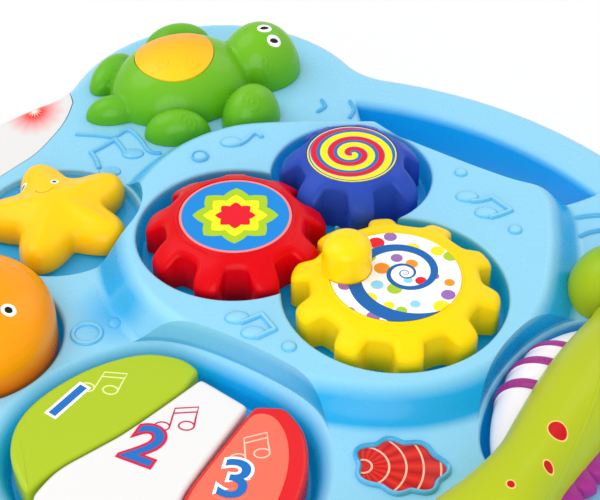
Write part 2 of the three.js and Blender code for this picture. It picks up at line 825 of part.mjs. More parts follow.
function keyFoot(name, low) {
  const y = keysY - keyFootInset;
  const center = pitFloor + fitGap + keyFootRadius;
  const bar = new THREE.CylinderGeometry(keyFootRadius, keyFootRadius, keyFootLength, 8);
  bar.rotateZ(Math.PI / 2);
  bar.translate(keyFootPlace(name), y, center);
  const web = box(keyFootPlace(name), y, center, low + keyRound, keyFootLength, keyFootRadius);
  return solid(bar).add(web);
}

// Starfish
function starOutline(radius) {
  const points = [];
  for (let i = 0; i < starPoints; i++) {
    const angle = (2 * Math.PI * i) / starPoints;
    const wave = (1 + Math.cos(starArms * angle)) / 2;
    const reach = radius * (starValleyShare + (1 - starValleyShare) * wave);
    points.push(
      new THREE.Vector2(
        starX + reach * Math.cos(angle + starFirstArm),
        starY + reach * Math.sin(angle + starFirstArm),
      ),
    );
  }
  return points;
}

const starFloor = tableHeight - starRecessDepth;

function buildStarfish() {
  const low = starFloor + gearFloorGap;
  const side = low + starThickness * starSideShare;
  const crown = starThickness * (1 - starSideShare);
  const rings = [
    lift(starOutline(starTip * starFootShare), low),
    lift(starOutline(starTip), low + crown * starFootRiseShare),
  ];
  for (const turn of [0, 32, 56, 76].map((degrees) => (degrees * Math.PI) / 180)) {
    rings.push(lift(starOutline(starTip * Math.cos(turn)), side + crown * Math.sin(turn)));
  }
  const underside = starFloor - wall - fitGap;
  const hub = cylinder(starX, starY, underside, low + overrun, starHubRadius, 12);
  const pilot = pilotHole(starX, starY, underside - fitGap, hubScrew);
  addPiece("starfish", loft(rings).add(hub).subtract(pilot), 0xf9e11b, 0.35);
  const held = screw(starX, starY, underside - fitGap, hubScrew);
  addPiece("starfish_screw", held, 0xb8bcc0, 0.3, 0.9);
}

// Fish
function fishProfile(radius, low, rise) {
  const profile = [[0, low], [radius, low]];
  const shoulder = tableHeight + fishSkirt / 2;
  for (const turn of [0, 22, 42, 60, 77].map((degrees) => (degrees * Math.PI) / 180)) {
    profile.push([radius * Math.cos(turn), shoulder + (tableHeight + rise - shoulder) * Math.sin(turn)]);
  }
  profile.push([0, tableHeight + rise]);
  return profile;
}

const fishFloor = tableHeight - fishWellDepth;
const fishStop = fishFloor + fishTravel + fitGap;

function buildFish() {
  const shell = revolved(fishProfile(fishRadius, fishStop, fishRise), 28);
  const inside = revolved(fishProfile(fishRadius - fishSkin, fishStop - overrun, fishRise - fishSkin), 12);
  const ceiling = tableHeight + fishRise - fishSkin;
  const stem = cylinder(0, 0, fishFloor - wall - fitGap, ceiling, fishStemRadius, 12);
  const body = shell.subtract(inside).add(stem).translate([fishX, fishY, 0]);
  addPiece("fish_button", body, 0xf9a01b, 0.35);
  const springLow = fishFloor + fitGap;
  const springTop = tableHeight + fishRise * fishSpringShare;
  const spring = sleeve(fishX, fishY, springLow, springTop, fishSpringRadius, fishSpringWire);
  addPiece("fish_spring", spring, 0xb8bcc0, 0.3, 0.9);
}

// The outer shape of a coil spring, as a plain sleeve.
function sleeve(x, y, low, high, radius, width) {
  const outer = cylinder(x, y, low, high, radius, 12);
  const inner = cylinder(x, y, low - overrun, high + overrun, radius - width, 12);
  return outer.subtract(inner);
}

// Turtle
function turtlePlace(ahead, aside) {
  const [c, d] = [Math.cos(turtleBearing), Math.sin(turtleBearing)];
  return [turtleX + ahead * c - aside * d, turtleY + ahead * d + aside * c];
}

// An egg lying on the housing, its length along the turtle's heading plus a turn in degrees.
function turtleEgg(halfWidth, halfLength, height, ahead, aside, turn, raise, across, down) {
  const [x, y] = turtlePlace(ahead, aside);
  const heading = (turtleBearing * 180) / Math.PI - 90 + turn;
  return ellipsoid(halfWidth, halfLength, height, across, down)
    .rotate([0, 0, heading])
    .translate([x, y, tableHeight + raise]);
}

function turtleBody(raise) {
  return turtleEgg(turtleHalfWidth, turtleHalfLength, turtleHeight, 0, 0, 0, raise, 20, 12);
}

const buttonPlace = turtlePlace(shellButtonAheadShare * turtleHalfLength, 0);

function buildTurtle() {
  const size = turtleHalfLength;
  const limbs = Object.values(limbShares).map((limb) =>
    turtleEgg(
      limb.width * size,
      limb.length * size,
      limb.height * size,
      limb.ahead * size,
      limb.aside * size,
      limb.turn,
      0,
      limb.across ?? 12,
      limb.down ?? 6,
    ),
  );
  const whole = joined([turtleBody(0), ...limbs]);
  const reach = 4 * turtleHalfLength;
  const sunk = tableHeight - turtleHeight - overrun;
  const below = box(turtleX, turtleY, sunk, tableHeight + fitGap, reach, reach);
  const clearOfPlateau = plateauSolid(fitGap);
  const pocketFloor = tableHeight + turtleHeight - shellButtonDepth - shellButtonTravel;
  const top = tableHeight + turtleHeight + overrun;
  const pocket = cylinder(...buttonPlace, pocketFloor, top, shellButtonRadius + fitGap, buttonSides);
  const guide = cylinder(...buttonPlace, tableHeight - overrun, top, shellButtonStemRadius + fitGap, 8);
  const made = whole.subtract(below).subtract(clearOfPlateau).subtract(pocket).subtract(guide);
  addPiece("turtle", made, 0x5fb52a, 0.35);

  const buttonLow = pocketFloor + shellButtonTravel + fitGap;
  const core = cylinder(...buttonPlace, buttonLow, top, shellButtonRadius, buttonSides);
  const stemLow = tableHeight + shellButtonTravel + fitGap;
  const stem = cylinder(...buttonPlace, stemLow, buttonLow + overrun, shellButtonStemRadius, 8);
  const seatTop = buttonLow + shellButtonTravel;
  const seatWidth = buttonSpringRadius - shellButtonStemRadius;
  const seatLow = buttonLow - overrun;
  const springSeat = sleeve(...buttonPlace, seatLow, seatTop, buttonSpringRadius + fitGap, seatWidth);
  const button = turtleBody(fitGap).intersect(core).subtract(springSeat).add(stem);
  addPiece("turtle_shell_button", button, 0xfdc21c, 0.35);
  const [springLow, springTop] = [pocketFloor + fitGap, seatTop - fitGap];
  const spring = sleeve(...buttonPlace, springLow, springTop, buttonSpringRadius, buttonSpringWire);
  addPiece("turtle_button_spring", spring, 0xb8bcc0, 0.3, 0.9);
}

// Seahorse
// A barrel along Y, from its middle, with round caps as small as its end radius.
function barrel(radius, endRadius, half, steps, sides) {
  const profile = [[0, -half]];
  for (let i = 0; i <= steps; i++) {
    const t = -1 + (2 * i) / steps;
    profile.push([endRadius + (radius - endRadius) * (1 - t * t), t * half]);
  }
  return revolved([...profile, [0, half]], sides);
}

function alongY(made, shift = 0) {
  return made.rotate([-90, 0, 0]).translate([rollerX, rollerY + shift, rollerLevel]);
}

function rollerSpace(extra) {
  return alongY(barrel(rollerRadius + extra, rollerEndRadius + extra, rollerHalfLength + extra, 6, 16));
}

function bowl(extra, steps, sides) {
  const made = barrel(bowlRadius + extra, bowlEndRadius + extra, bowlHalfLength + extra, steps, sides);
  return alongY(made, bowlShift);
}

// The drum's profile, with its ribs raised from the barrel.
function rollerProfile() {
  const swell = (z) =>
    rollerEndRadius + (rollerRadius - rollerEndRadius) * (1 - (z / rollerHalfLength) ** 2);
  const points = rollerPlainShares
    .map((share) => share * rollerHalfLength)
    .map((z) => [swell(z), z]);
  for (const share of rollerRibShares) {
    const middle = share * rollerHalfLength;
    for (const [side, raise] of [[-1, 0], [-ribCrestShare, 1], [ribCrestShare, 1], [1, 0]]) {
      const z = middle + side * rollerRibHalfWidth;
      points.push([swell(z) + raise * rollerRib, z]);
    }
  }
  points.sort((a, b) => a[1] - b[1]);
  return points;
}

function buildRoller() {
  const bore = axleRadius + fitGap;
  const start = [bore, -rollerHalfLength];
  const drum = revolved([start, ...rollerProfile(), [bore, rollerHalfLength], start], 20);
  addPiece("belly_roller", alongY(drum), 0xf6f2f4, 0.3);
  const axleHalf = rollerHalfLength + axleOverhang;
  const axle = cylinder(0, 0, -axleHalf, axleHalf, axleRadius, 8);
  addPiece("belly_roller_axle", alongY(axle), 0xc4c8cc, 0.25, 0.9);
}

// The body is swept along its stations, with a rounded, rather square section.
function seahorseBody(extra = 0) {
  const sides = 14;
  const stations = seahorseShares.map((shares) => shares.map((share) => share * rollerHalfLength));
  const path = new THREE.CatmullRomCurve3(
    stations.map(([x, y]) => new THREE.Vector3(rollerX + x, rollerY + y, 0)),
  );
  const sizes = new THREE.CatmullRomCurve3(
    stations.map(([, y, half, top]) => new THREE.Vector3(y, half + extra, top + extra)),
  );
  const squared = (value) => Math.sign(value) * Math.abs(value) ** seahorseSquareShare;
  const steps = 15;
  const rings = [];
  for (let i = 0; i <= steps; i++) {
    const center = path.getPoint(i / steps);
    const ahead = path.getTangent(i / steps);
    const size = sizes.getPoint(i / steps);
    const ring = [];
    for (let k = 0; k < sides; k++) {
      const turn = (2 * Math.PI * k) / sides;
      const sideways = size.y * squared(Math.cos(turn));
      ring.push(
        new THREE.Vector3(
          center.x - ahead.y * sideways,
          center.y + ahead.x * sideways,
          tableHeight + size.z * squared(Math.sin(turn)),
        ),
      );
    }
    rings.push(ring);
  }
  return sweep(rings);
}

// Joins rings that stand across a path, with fans over both ends.
function sweep(rings) {
  const count = rings[0].length;
  const middle = (ring) =>
    ring.reduce((sum, p) => sum.add(p), new THREE.Vector3()).divideScalar(ring.length);
  const points = [...rings.flat(), middle(rings[0]), middle(rings[rings.length - 1])];
  const faces = [];
  for (let level = 0; level + 1 < rings.length; level++) {
    for (let i = 0; i < count; i++) {
      const next = (i + 1) % count;
      const a = level * count + i;
      const b = level * count + next;
      const c = (level + 1) * count + next;
      const d = (level + 1) * count + i;
      faces.push(a, b, c, a, c, d);
    }
  }
  const last = (rings.length - 1) * count;
  for (let i = 0; i < count; i++) {
    const next = (i + 1) % count;
    faces.push(points.length - 2, next, i);
    faces.push(points.length - 1, last + i, last + next);
  }
  const geometry = new THREE.BufferGeometry();
  geometry.setAttribute(
    "position",
    new THREE.Float32BufferAttribute(points.flatMap((p) => [p.x, p.y, p.z]), 3),
  );
  geometry.setIndex(faces);
  return solid(geometry);
}

function buildSeahorse() {
  const tail = ellipsoid(tailRadius, tailRadius, tailHeight, 16, 10).translate([tailX, tailY, tableHeight]);
  const heading = (headBearing * 180) / Math.PI - 90;
  const head = ellipsoid(headHalfWidth, headHalfLength, headHeight, 16, 10)
    .rotate([0, 0, heading])
    .translate([headX, headY, tableHeight]);
  const snoutX = headX + snoutReach * Math.cos(headBearing);
  const snoutY = headY + snoutReach * Math.sin(headBearing);
  const snout = ellipsoid(snoutRadius, 2 * snoutRadius, snoutHeight, 12, 6)
    .rotate([0, 0, heading])
    .translate([snoutX, snoutY, tableHeight]);
  const whole = joined([seahorseBody(), tail, head, snout]);
  const span = 5 * rollerHalfLength;
  const sunk = tableHeight - headHeight - overrun;
  const below = box(rollerX, rollerY - rollerHalfLength, sunk, tableHeight + fitGap, span, 2 * span);
  const room = rollerSpace(rollerRib + rollerGap).add(plateauSolid(fitGap));
  const made = whole.subtract(below).subtract(room);
  addPiece("seahorse", made, 0xb9cf2c, 0.35);
  addPiece("seahorse_fin", seahorseFin(), 0xa03090, 0.35);
}

// The back fin is a strip beside the body, with a scalloped outer edge.
function seahorseFin() {
  const steps = finScallops * 4;
  const stations = seahorseShares.map((shares) => shares.map((share) => share * rollerHalfLength));
  const spine = new THREE.CatmullRomCurve3(
    stations.map(([x, y, half]) => new THREE.Vector3(rollerX + x + half, rollerY + y, 0)),
  );
  const [from, to] = [finFromShare, finToShare].map((share) => rollerY + share * rollerHalfLength);
  const edge = spine.getPoints(200);
  const spineX = (y) => edge.reduce((best, p) => (Math.abs(p.y - y) < Math.abs(best.y - y) ? p : best)).x;
  const outer = [];
  const inner = [];
  for (let i = 0; i <= steps; i++) {
    const t = i / steps;
    const y = from + (to - from) * t;
    const scallop = Math.abs(Math.sin(Math.PI * finScallops * t));
    const swell = Math.sin(Math.PI * t) ** finEndPower;
    const reach = finReach * swell * (finLowShare + (1 - finLowShare) * scallop);
    outer.push(new THREE.Vector2(spineX(y) + reach, y));
    inner.push(new THREE.Vector2(spineX(y) - finWidth, y));
  }
  const outline = [...inner, ...outer.reverse()];
  const strip = pillow(outline, tableHeight + fitGap, tableHeight + finHeight, finWidth / 4, 1);
  const parts = strip.subtract(seahorseBody(fitGap)).decompose();
  return parts.sort((a, b) => b.volume() - a.volume())[0];
}

// Picture plate
function plateOutline(radius) {
  const points = [];
  const count = plateLobes * 4;
  for (let i = 0; i < count; i++) {
    const turn = (2 * Math.PI * i) / count;
    const fan = plateBodyShare + plateLobeShare * Math.cos(plateLobes * turn);
    const reach = radius * fan * (1 + plateLongShare * Math.cos(2 * turn));
    points.push(
      new THREE.Vector2(
        plateX + reach * Math.cos(turn + plateBearing),
        plateY + reach * Math.sin(turn + plateBearing) * plateBodyShare,
      ),
    );
  }
  return points;
}

function plateRidgeSolid() {
  const outerOutline = plateOutline(plateRadius + fitGap + plateRidgeWidth);
  const top = tableHeight + plateRidge;
  const outer = pillow(outerOutline, tableHeight - wall, top, plateRidge / 2, 1);
  const inner = prism(plateOutline(plateRadius + fitGap), tableHeight, top + overrun);
  return outer.subtract(inner);
}

function buildPlate() {
  const low = tableHeight + fitGap / 3;
  addPiece("shell_sticker", prism(plateOutline(plateRadius), low, low + stickerThickness), 0xe2202c, 0.4);
}

// Lamp
function lampLoop(inwards) {
  const outerRadius = sideRimRadius + overrun;
  const width = outerRadius - lampInnerRadius;
  const half = lampEdgeShares.map(([angle, out]) => [
    (angle * lampHalfSpan * Math.PI) / 180,
    lampInnerRadius + out * width,
  ]);
  const edge = [...half.slice(1).reverse().map(([angle, radius]) => [-angle, radius]), ...half];
  const spread = (lampHalfSpan * Math.PI) / 180;
  const inner = edge.map(([angle, radius]) => [-radius * Math.cos(angle), radius * Math.sin(angle)]);
  const curve = smoothLine(inner, 20);
  const farRadius = outerRadius + overrun;
  const far = arc(0, 0, farRadius, Math.PI - spread, Math.PI + spread, 8);
  const last = arc(0, 0, farRadius, Math.PI + spread, Math.PI, 1);
  return grown([...curve, ...far, ...last], -inwards);
}

const lampFloor = tableHeight - lampDepth;

function buildLamp() {
  const outline = prism(lampLoop(lampGap), lampFloor + fitGap, tableHeight + overrun);
  const outer = housingTop(0, splitLevel, tableHeight, edgeRound, 3).intersect(outline);
  const hollowOutline = prism(lampLoop(lampGap + lampWall), lampFloor - overrun, tableHeight);
  const hollow = housingTop(lampWall, splitLevel, tableHeight - lampWall, edgeRound - lampWall, 1);
  const cover = outer.subtract(hollow.intersect(hollowOutline));
  addPiece("lamp_cover", cover, 0xfaf6f4, 0.25);
  const base = lampFloor + fitGap;
  for (const [name, y, color] of [["back_lamp_led", ledY, 0xff3a2a], ["front_lamp_led", -ledY, 0xffe2dd]]) {
    const led = revolved(
      [
        [0, base],
        [ledRadius + ledFlange, base],
        [ledRadius + ledFlange, base + ledFlange],
        [ledRadius, base + ledFlange],
        [ledRadius, base + ledHeight - ledRadius],
        [ledRadius * ledTipShare, base + ledHeight - ledRadius * ledTipDropShare],
        [0, base + ledHeight],
      ],
      8,
    ).translate([ledX, y, 0]);
    addPiece(name, led, color, 0.2);
  }
}

// Top shell
function shellAdditions() {
  const parts = [];
  for (const gear of Object.values(gears)) {
    parts.push(cylinder(gear.x, gear.y, wellFloor - wall, plateauLevel, gear.well + wall, 18));
  }
  parts.push(prism(grown(slotRing(), wall), splitLevel, plateauLevel));
  parts.push(prism(keysRing(keyPitRim + wall), pitFloor - wall, plateauLevel));
  parts.push(cylinder(starX, starY, starFloor - wall, plateauLevel, starTip + starRecessGap + wall, 14));
  parts.push(cylinder(fishX, fishY, fishFloor - wall, tableHeight, fishRadius + fishWellGap + wall, 14));
  parts.push(bowl(wall, 4, 12));
  for (const side of [-1, 1]) {
    const y = rollerY + side * (rollerHalfLength + axleOverhang);
    parts.push(box(rollerX, y, rollerLevel - axleBlock, tableHeight, 2 * axleBlock, 2 * axleBlock));
  }
  parts.push(prism(lampLoop(-wall), lampFloor - wall, tableHeight));
  for (const [x, y] of screwPlaces) {
    parts.push(cylinder(x, y, splitLevel, tableHeight, screwBossRadius, 6));
  }
  return joined(parts);
}

function shellCuts() {
  const above = plateauLevel + overrun;
  const parts = [];
  for (const gear of Object.values(gears)) {
    parts.push(cylinder(gear.x, gear.y, wellFloor, above, gear.well, 36));
    parts.push(cylinder(gear.x, gear.y, wellFloor - wall - overrun, above, gearHubRadius + fitGap, 12));
  }
  parts.push(prism(slotRing(), splitLevel - overrun, above));
  parts.push(keyPit(above));
  for (const name of Object.keys(keyOutlines)) {
    const [x, y] = stemPlace(name);
    const hole = keyStemRadius + 2 * fitGap;
    parts.push(cylinder(x, y, pitFloor - wall - overrun, pitFloor + overrun, hole, 10));
  }
  const starHole = starHubRadius + fitGap;
  parts.push(cylinder(starX, starY, starFloor, above, starTip + starRecessGap, 28));
  parts.push(cylinder(starX, starY, starFloor - wall - overrun, above, starHole, 12));
  parts.push(cylinder(fishX, fishY, fishFloor, above, fishRadius + fishWellGap, 28));
  parts.push(cylinder(fishX, fishY, fishFloor - wall - overrun, above, fishStemRadius + fitGap, 12));
  parts.push(bowl(0, 6, 18));
  const reach = rollerHalfLength + axleOverhang + fitGap;
  parts.push(alongY(cylinder(0, 0, -reach, reach, axleRadius + fitGap, 8)));
  parts.push(prism(lampLoop(0), lampFloor, above));
  for (const [x, y] of screwPlaces) parts.push(pilotHole(x, y, screwSeat - fitGap, housingScrew));
  return joined(parts);
}

function keyPit(above) {
  const rim = keysRing(keyPitRim);
  const lip = keysRing(keyPitGap);
  return loft([
    lift(lip, pitFloor),
    lift(lip, pitFloor + keyPitDepth * keyPitLipShare),
    lift(rim, tableHeight),
    lift(rim, above),
  ]);
}

function buildTopShell() {
  const body = housingTop(0, splitLevel, tableHeight, edgeRound, 3);
  const [low, high] = [splitLevel - overrun, tableHeight - wall];
  const hollow = housingTop(wall, low, high, edgeRound - wall, 1, innerCounts);
  const envelope = body.add(plateauSolid());
  const skin = envelope.subtract(hollow).subtract(plateauHollow());
  const inside = shellAdditions().intersect(envelope);
  const made = skin.add(inside).subtract(shellCuts()).add(plateRidgeSolid());
  addPiece("top_shell", made, 0x9fdcf7, 0.25);
}

// Bottom cover
const legPlaces = [1, 3, 5, 7].map((eighth) => [
  legReach * Math.cos((eighth * Math.PI) / 4),
  legReach * Math.sin((eighth * Math.PI) / 4),
]);
const batteryWidth = 3 * (2 * cellRadius + cellGap) + cellGap;
const batteryDepth = cellLength + cellEndSpace;
const batteryTop = housingBottom + doorThickness + fitGap + 2 * cellRadius + 2 * cellGap;
const speakerX = keysX;
const speakerY = keysY - keysLength / 2;

// Parallel slots that fill a circle below the speaker.
function grilleCut() {
  const slots = [];
  for (let i = -grilleSlots; i <= grilleSlots; i++) {
    const aside = i * grillePitch;
    const length = 2 * Math.sqrt(grilleRadius ** 2 - aside ** 2);
    const [low, high] = [housingBottom - overrun, trayFloor + overrun];
    slots.push(box(speakerX + aside, speakerY, low, high, grilleSlotWidth, length));
  }
  return joined(slots);
}

function boardPosts() {
  const postTop = boardTop - boardThickness - fitGap;
  const posts = [];
  for (const sx of [-1, 1]) {
    for (const sy of [-1, 1]) {
      const x = speakerX + sx * (boardWidth / 2 - boardPostInset);
      const y = speakerY + sy * (boardDepth / 2 - boardPostInset);
      posts.push(cylinder(x, y, floorRoot, postTop, boardPostRadius, 6));
    }
  }
  return joined(posts);
}

function buildBottomCover() {
  const top = splitLevel - fitGap;
  const body = housingBottomPart(0, housingBottom, top, edgeRound, 2);
  const hollow = housingBottomPart(wall, trayFloor, top + overrun, edgeRound - wall, 1, innerCounts);
  const adds = [boardPosts()];
  adds.push(prism(grown(slotRing(), wall), floorRoot, top));
  const socketTop = housingBottom + legSpigotHeight + fitGap;
  for (const [x, y] of legPlaces) {
    adds.push(cylinder(x, y, floorRoot, socketTop, legSpigotRadius + fitGap + wall, 12));
  }
  for (const [x, y] of screwPlaces) {
    adds.push(cylinder(x, y, floorRoot, top, screwBossRadius, 6));
  }
  const caseSize = [batteryWidth + 2 * wall, batteryDepth + 2 * wall];
  adds.push(box(batteryX, batteryY, floorRoot, batteryTop + wall, ...caseSize));
  adds.push(speakerRing());
  adds.push(...switchRails());
  const [below, above] = [housingBottom - overrun, top + overrun];
  const cuts = [prism(slotRing(), below, above), grilleCut()];
  for (const [x, y] of legPlaces) {
    cuts.push(cylinder(x, y, below, socketTop + overrun, legSpigotRadius + fitGap, 16));
  }
  for (const [x, y] of screwPlaces) {
    cuts.push(cylinder(x, y, below, screwSeat, housingScrew.headRadius + fitGap, 10));
    cuts.push(cylinder(x, y, below, above, housingScrew.radius + fitGap, 6));
  }
  const doorTop = housingBottom + doorThickness;
  const doorSize = [batteryWidth + 2 * doorLip, batteryDepth + 2 * doorLip];
  cuts.push(box(batteryX, batteryY, below, batteryTop, batteryWidth, batteryDepth));
  cuts.push(box(batteryX, batteryY, below, doorTop, ...doorSize));
  const slotLength = switchKnobLength + switchTravel + 2 * fitGap;
  const slotWidth = switchKnobWidth + 2 * fitGap;
  const slotX = switchX + switchTravel / 2;
  cuts.push(box(slotX, switchY, below, trayFloor + overrun, slotLength, slotWidth));
  const made = body.subtract(hollow).add(joined(adds)).subtract(joined(cuts));
  addPiece("bottom_cover", made, 0x8fd0ef, 0.45);
}

function speakerRing() {
  const low = floorRoot;
  const high = trayFloor + speakerRim + fitGap;
  const inside = speakerRadius + fitGap;
  const outer = cylinder(speakerX, speakerY, low, high, inside + wall, 16);
  return outer.subtract(cylinder(speakerX, speakerY, low - overrun, high + overrun, inside, 16));
}

function switchRails() {
  const high = trayFloor + fitGap + switchPlateThickness;
  const length = switchPlateLength + switchTravel + 2 * fitGap;
  return [-1, 1].map((side) => {
    const y = switchY + side * (switchPlateWidth / 2 + fitGap + switchRail / 2);
    return box(switchX + switchTravel / 2, y, floorRoot, high, length, switchRail);
  });
}

function buildElectronics() {
  const low = boardTop - boardThickness;
  addPiece("circuit_board", box(speakerX, speakerY, low, boardTop, boardWidth, boardDepth), 0x2d6b3a, 0.6);
  const floor = trayFloor + fitGap;
  const speaker = revolved(
    [
      [0, floor],
      [speakerRadius, floor],
      [speakerRadius, floor + speakerRim],
      [speakerMagnetRadius, floor + speakerHeight * speakerConeShare],
      [speakerMagnetRadius, floor + speakerHeight],
      [0, floor + speakerHeight],
    ],
    16,
  ).translate([speakerX, speakerY, 0]);
  addPiece("speaker", speaker, 0x2a2a2c, 0.6);
  const plateTop = floor + switchPlateThickness;
  const knobLow = housingBottom - switchProud;
  const knobTop = floor + switchPlateThickness / 2;
  const plate = box(switchX, switchY, floor, plateTop, switchPlateLength, switchPlateWidth);
  const knob = box(switchX, switchY, knobLow, knobTop, switchKnobLength, switchKnobWidth);
  addPiece("power_switch", plate.add(knob), 0x2b449c, 0.5);
}

function buildBattery() {
  const center = housingBottom + doorThickness + fitGap + cellGap + cellRadius;
  for (let i = 0; i < 3; i++) {
    const x = batteryX + (i - 1) * (2 * cellRadius + cellGap);
    const geometry = new THREE.CylinderGeometry(cellRadius, cellRadius, cellLength, 12);
    geometry.translate(x, batteryY, center);
    addPiece(`battery_${i + 1}`, solid(geometry), 0x4a4d52, 0.4, 0.3);
  }
  const width = batteryWidth + 2 * (doorLip - fitGap);
  const depth = batteryDepth + 2 * (doorLip - fitGap);
  const top = housingBottom + doorThickness - fitGap;
  const door = box(batteryX, batteryY, housingBottom, top, width, depth);
  addPiece("battery_door", door, 0x8fd0ef, 0.45);
}

function buildLegs() {
  const names = ["back_right", "back_left", "front_left", "front_right"];
  const top = housingBottom - fitGap;
  const bottom = footFloor + fitGap;
  legPlaces.forEach(([x, y], i) => {
    const spigotTop = housingBottom + legSpigotHeight;
    const outside = [
      [legBottomRadius, bottom],
      [legTopRadius, top - edgeRound],
      [legTopRadius, top],
      [legSpigotRadius, top],
      [legSpigotRadius, spigotTop],
    ];
    const inside = [
      [legSpigotRadius - legWall, spigotTop],
      [legSpigotRadius - legWall, bottom + legWall],
    ];
    const profile = [[0, bottom], ...outside, ...inside, [0, bottom + legWall]];
    addPiece(`${names[i]}_leg`, revolved(profile, 16).translate([x, y, 0]), 0xffd91a, 0.35);
    const grip = legBottomRadius + footGrip;
    const cup = [
      [0, 0],
      [footRadius - footEdge, 0],
      [footRadius, footEdge],
      [footRadius, footHeight],
      [grip, footHeight],
      [grip, footFloor],
      [0, footFloor],
    ];
    addPiece(`${names[i]}_foot`, revolved(cup, 16).translate([x, y, 0]), 0x2b449c, 0.8);
  });
}

function buildScrews() {
  screwPlaces.forEach(([x, y], i) => {
    const made = screw(x, y, screwSeat - fitGap, housingScrew);
    addPiece(`housing_screw_${i + 1}`, made, 0xb8bcc0, 0.3, 0.9);
  });
}

buildTopShell();
buildBottomCover();
buildGears();
buildKnob();
buildKeys();
buildStarfish();
buildFish();
buildTurtle();
buildSeahorse();
buildRoller();
buildPlate();
buildLamp();
buildElectronics();
buildBattery();
buildLegs();
buildScrews();

export default root;
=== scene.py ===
"""Finished looks of a baby's activity table, built over its CAD frame.

Each operator models one group of pieces. Places and sizes are written in millimetres and are
turned into metres when a mesh is made. Outlines are lists of points, counter-clockwise.
"""

import json
import math

import bpy
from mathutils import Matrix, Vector


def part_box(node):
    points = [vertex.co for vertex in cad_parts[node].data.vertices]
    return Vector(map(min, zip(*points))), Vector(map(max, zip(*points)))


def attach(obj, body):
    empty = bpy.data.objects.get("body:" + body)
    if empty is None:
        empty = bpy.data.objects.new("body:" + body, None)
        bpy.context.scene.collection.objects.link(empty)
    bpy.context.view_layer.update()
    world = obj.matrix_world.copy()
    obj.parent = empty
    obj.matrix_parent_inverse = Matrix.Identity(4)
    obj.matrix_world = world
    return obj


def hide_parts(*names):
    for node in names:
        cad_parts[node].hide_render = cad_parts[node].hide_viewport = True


bl_info = {
    "name": "Baby activity table",
    "version": (1, 0, 0),
    "blender": (4, 5, 0),
    "location": "View3D > Sidebar > Table",
    "description": "Models the finished pieces of a baby's activity table",
    "category": "Add Mesh",
}

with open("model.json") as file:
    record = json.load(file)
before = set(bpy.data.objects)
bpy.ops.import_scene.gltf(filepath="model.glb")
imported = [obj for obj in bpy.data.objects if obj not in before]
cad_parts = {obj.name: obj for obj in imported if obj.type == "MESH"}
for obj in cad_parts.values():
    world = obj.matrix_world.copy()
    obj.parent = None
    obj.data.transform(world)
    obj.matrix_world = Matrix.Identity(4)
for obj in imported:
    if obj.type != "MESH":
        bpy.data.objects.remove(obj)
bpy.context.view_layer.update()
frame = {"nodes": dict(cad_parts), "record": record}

MM = 0.001
TURN = 2 * math.pi
QUARTER = math.pi / 2


def srgb(code):
    """A colour of the web, such as 0xffd91a, as the linear values that Blender keeps."""
    shares = [((code >> shift) & 255) / 255 for shift in (16, 8, 0)]
    return tuple(s / 12.92 if s <= 0.04045 else ((s + 0.055) / 1.055) ** 2.4 for s in shares)


def length(name, description, default):
    return bpy.props.FloatProperty(
        name=name, description=description, default=default * MM, unit="LENGTH", precision=4
    )


def colour(name, description, default):
    return bpy.props.FloatVectorProperty(
        name=name, description=description, default=srgb(default), subtype="COLOR", min=0, max=1
    )


class TableSizes(bpy.types.PropertyGroup):
    """Main sizes, which match those of the CAD model."""

    disc_radius: length("Disc radius", "From the middle of the table to its plain rim", 196)
    side_rim_radius: length("Side rim radius", "From the middle to the left and right rims", 208)
    lobe_radius: length("Lobe radius", "Radius of each corner lobe", 76)
    lobe_reach: length("Lobe reach", "From the middle of the table to a lobe's middle", 168)
    table_height: length("Table height", "From the floor to the table's surface", 257)
    plateau_rise: length("Plateau rise", "Height of the raised middle over the surface", 13)
    edge_round: length("Edge round", "Radius of the housing's upper and lower edges", 9)
    gear_module: length("Tooth module", "Pitch diameter of a disc over its count of teeth", 8)
    knob_radius: length("Knob radius", "Radius of the crank knob", 10.3)
    key_proud: length("Key proud", "How far the music keys stand over the surface", 3.5)
    relief: length("Relief", "Height of the moulded notes, bubbles and waves", 1.5)


class TableColours(bpy.types.PropertyGroup):
    """Colours of the plastics and prints, and of painted shade on the shell."""

    shell: colour("Shell", "Pale sky blue of the housing's top", 0x8CCFED)
    # The next two colours are painted shade: deeper blues where the flank, tilted relief and recess floors
    # fall in shade
    shell_slope_shade: colour("Shell slope", "Blue of the raised middle's flank", 0x00A6E4)
    shell_recess_shade: colour("Deep shell", "Blue of the recess floors", 0x0A9FE0)
    cover: colour("Cover", "Blue of the housing's bottom", 0x7CC8EC)
    yellow: colour("Yellow", "Toothed disc, knob and legs", 0xFFD60A)
    red: colour("Red", "Toothed disc", 0xD8020F)
    blue: colour("Blue", "Toothed disc and feet", 0x2C4CB4)
    key_green: colour("Green key", "First music key", 0xABC422)
    key_white: colour("White key", "Second music key", 0xE7E6E6)
    key_red: colour("Red key", "Third music key", 0xE21A22)
    key_inset: colour("Key inset", "Soft red face on the third key", 0xF0705A)
    starfish: colour("Starfish", "Yellow of the starfish", 0xFFCC08)
    fish: colour("Fish", "Orange of the press dome", 0xFA9C08)
    turtle: colour("Turtle", "Green of the turtle", 0x70B81E)
    turtle_shell: colour("Turtle shell", "Yellow of the turtle's press button", 0xF7CE1E)
    seahorse: colour("Seahorse", "Lime green of the seahorse", 0xB2C01A)
    fin: colour("Fin", "Magenta of the fin and the roller's ribs", 0x9E2C86)
    lamp: colour("Lamp", "White of the lamp cover", 0xE2E1E0)


def size(name):
    """A main size in millimetres."""
    return getattr(bpy.context.scene.table_sizes, name) / MM


def plateau_level():
    return size("table_height") + size("plateau_rise")


def tint(name):
    return tuple(getattr(bpy.context.scene.table_colours, name))


# Places and lesser sizes, most of them as in the CAD model
CENTER = (0, 0)
SPLIT_LEVEL = 222
HOUSING_BOTTOM = 207
COVER_TOP = SPLIT_LEVEL - 0.3
WALL = 2.5
LOBE_FILLET = 30
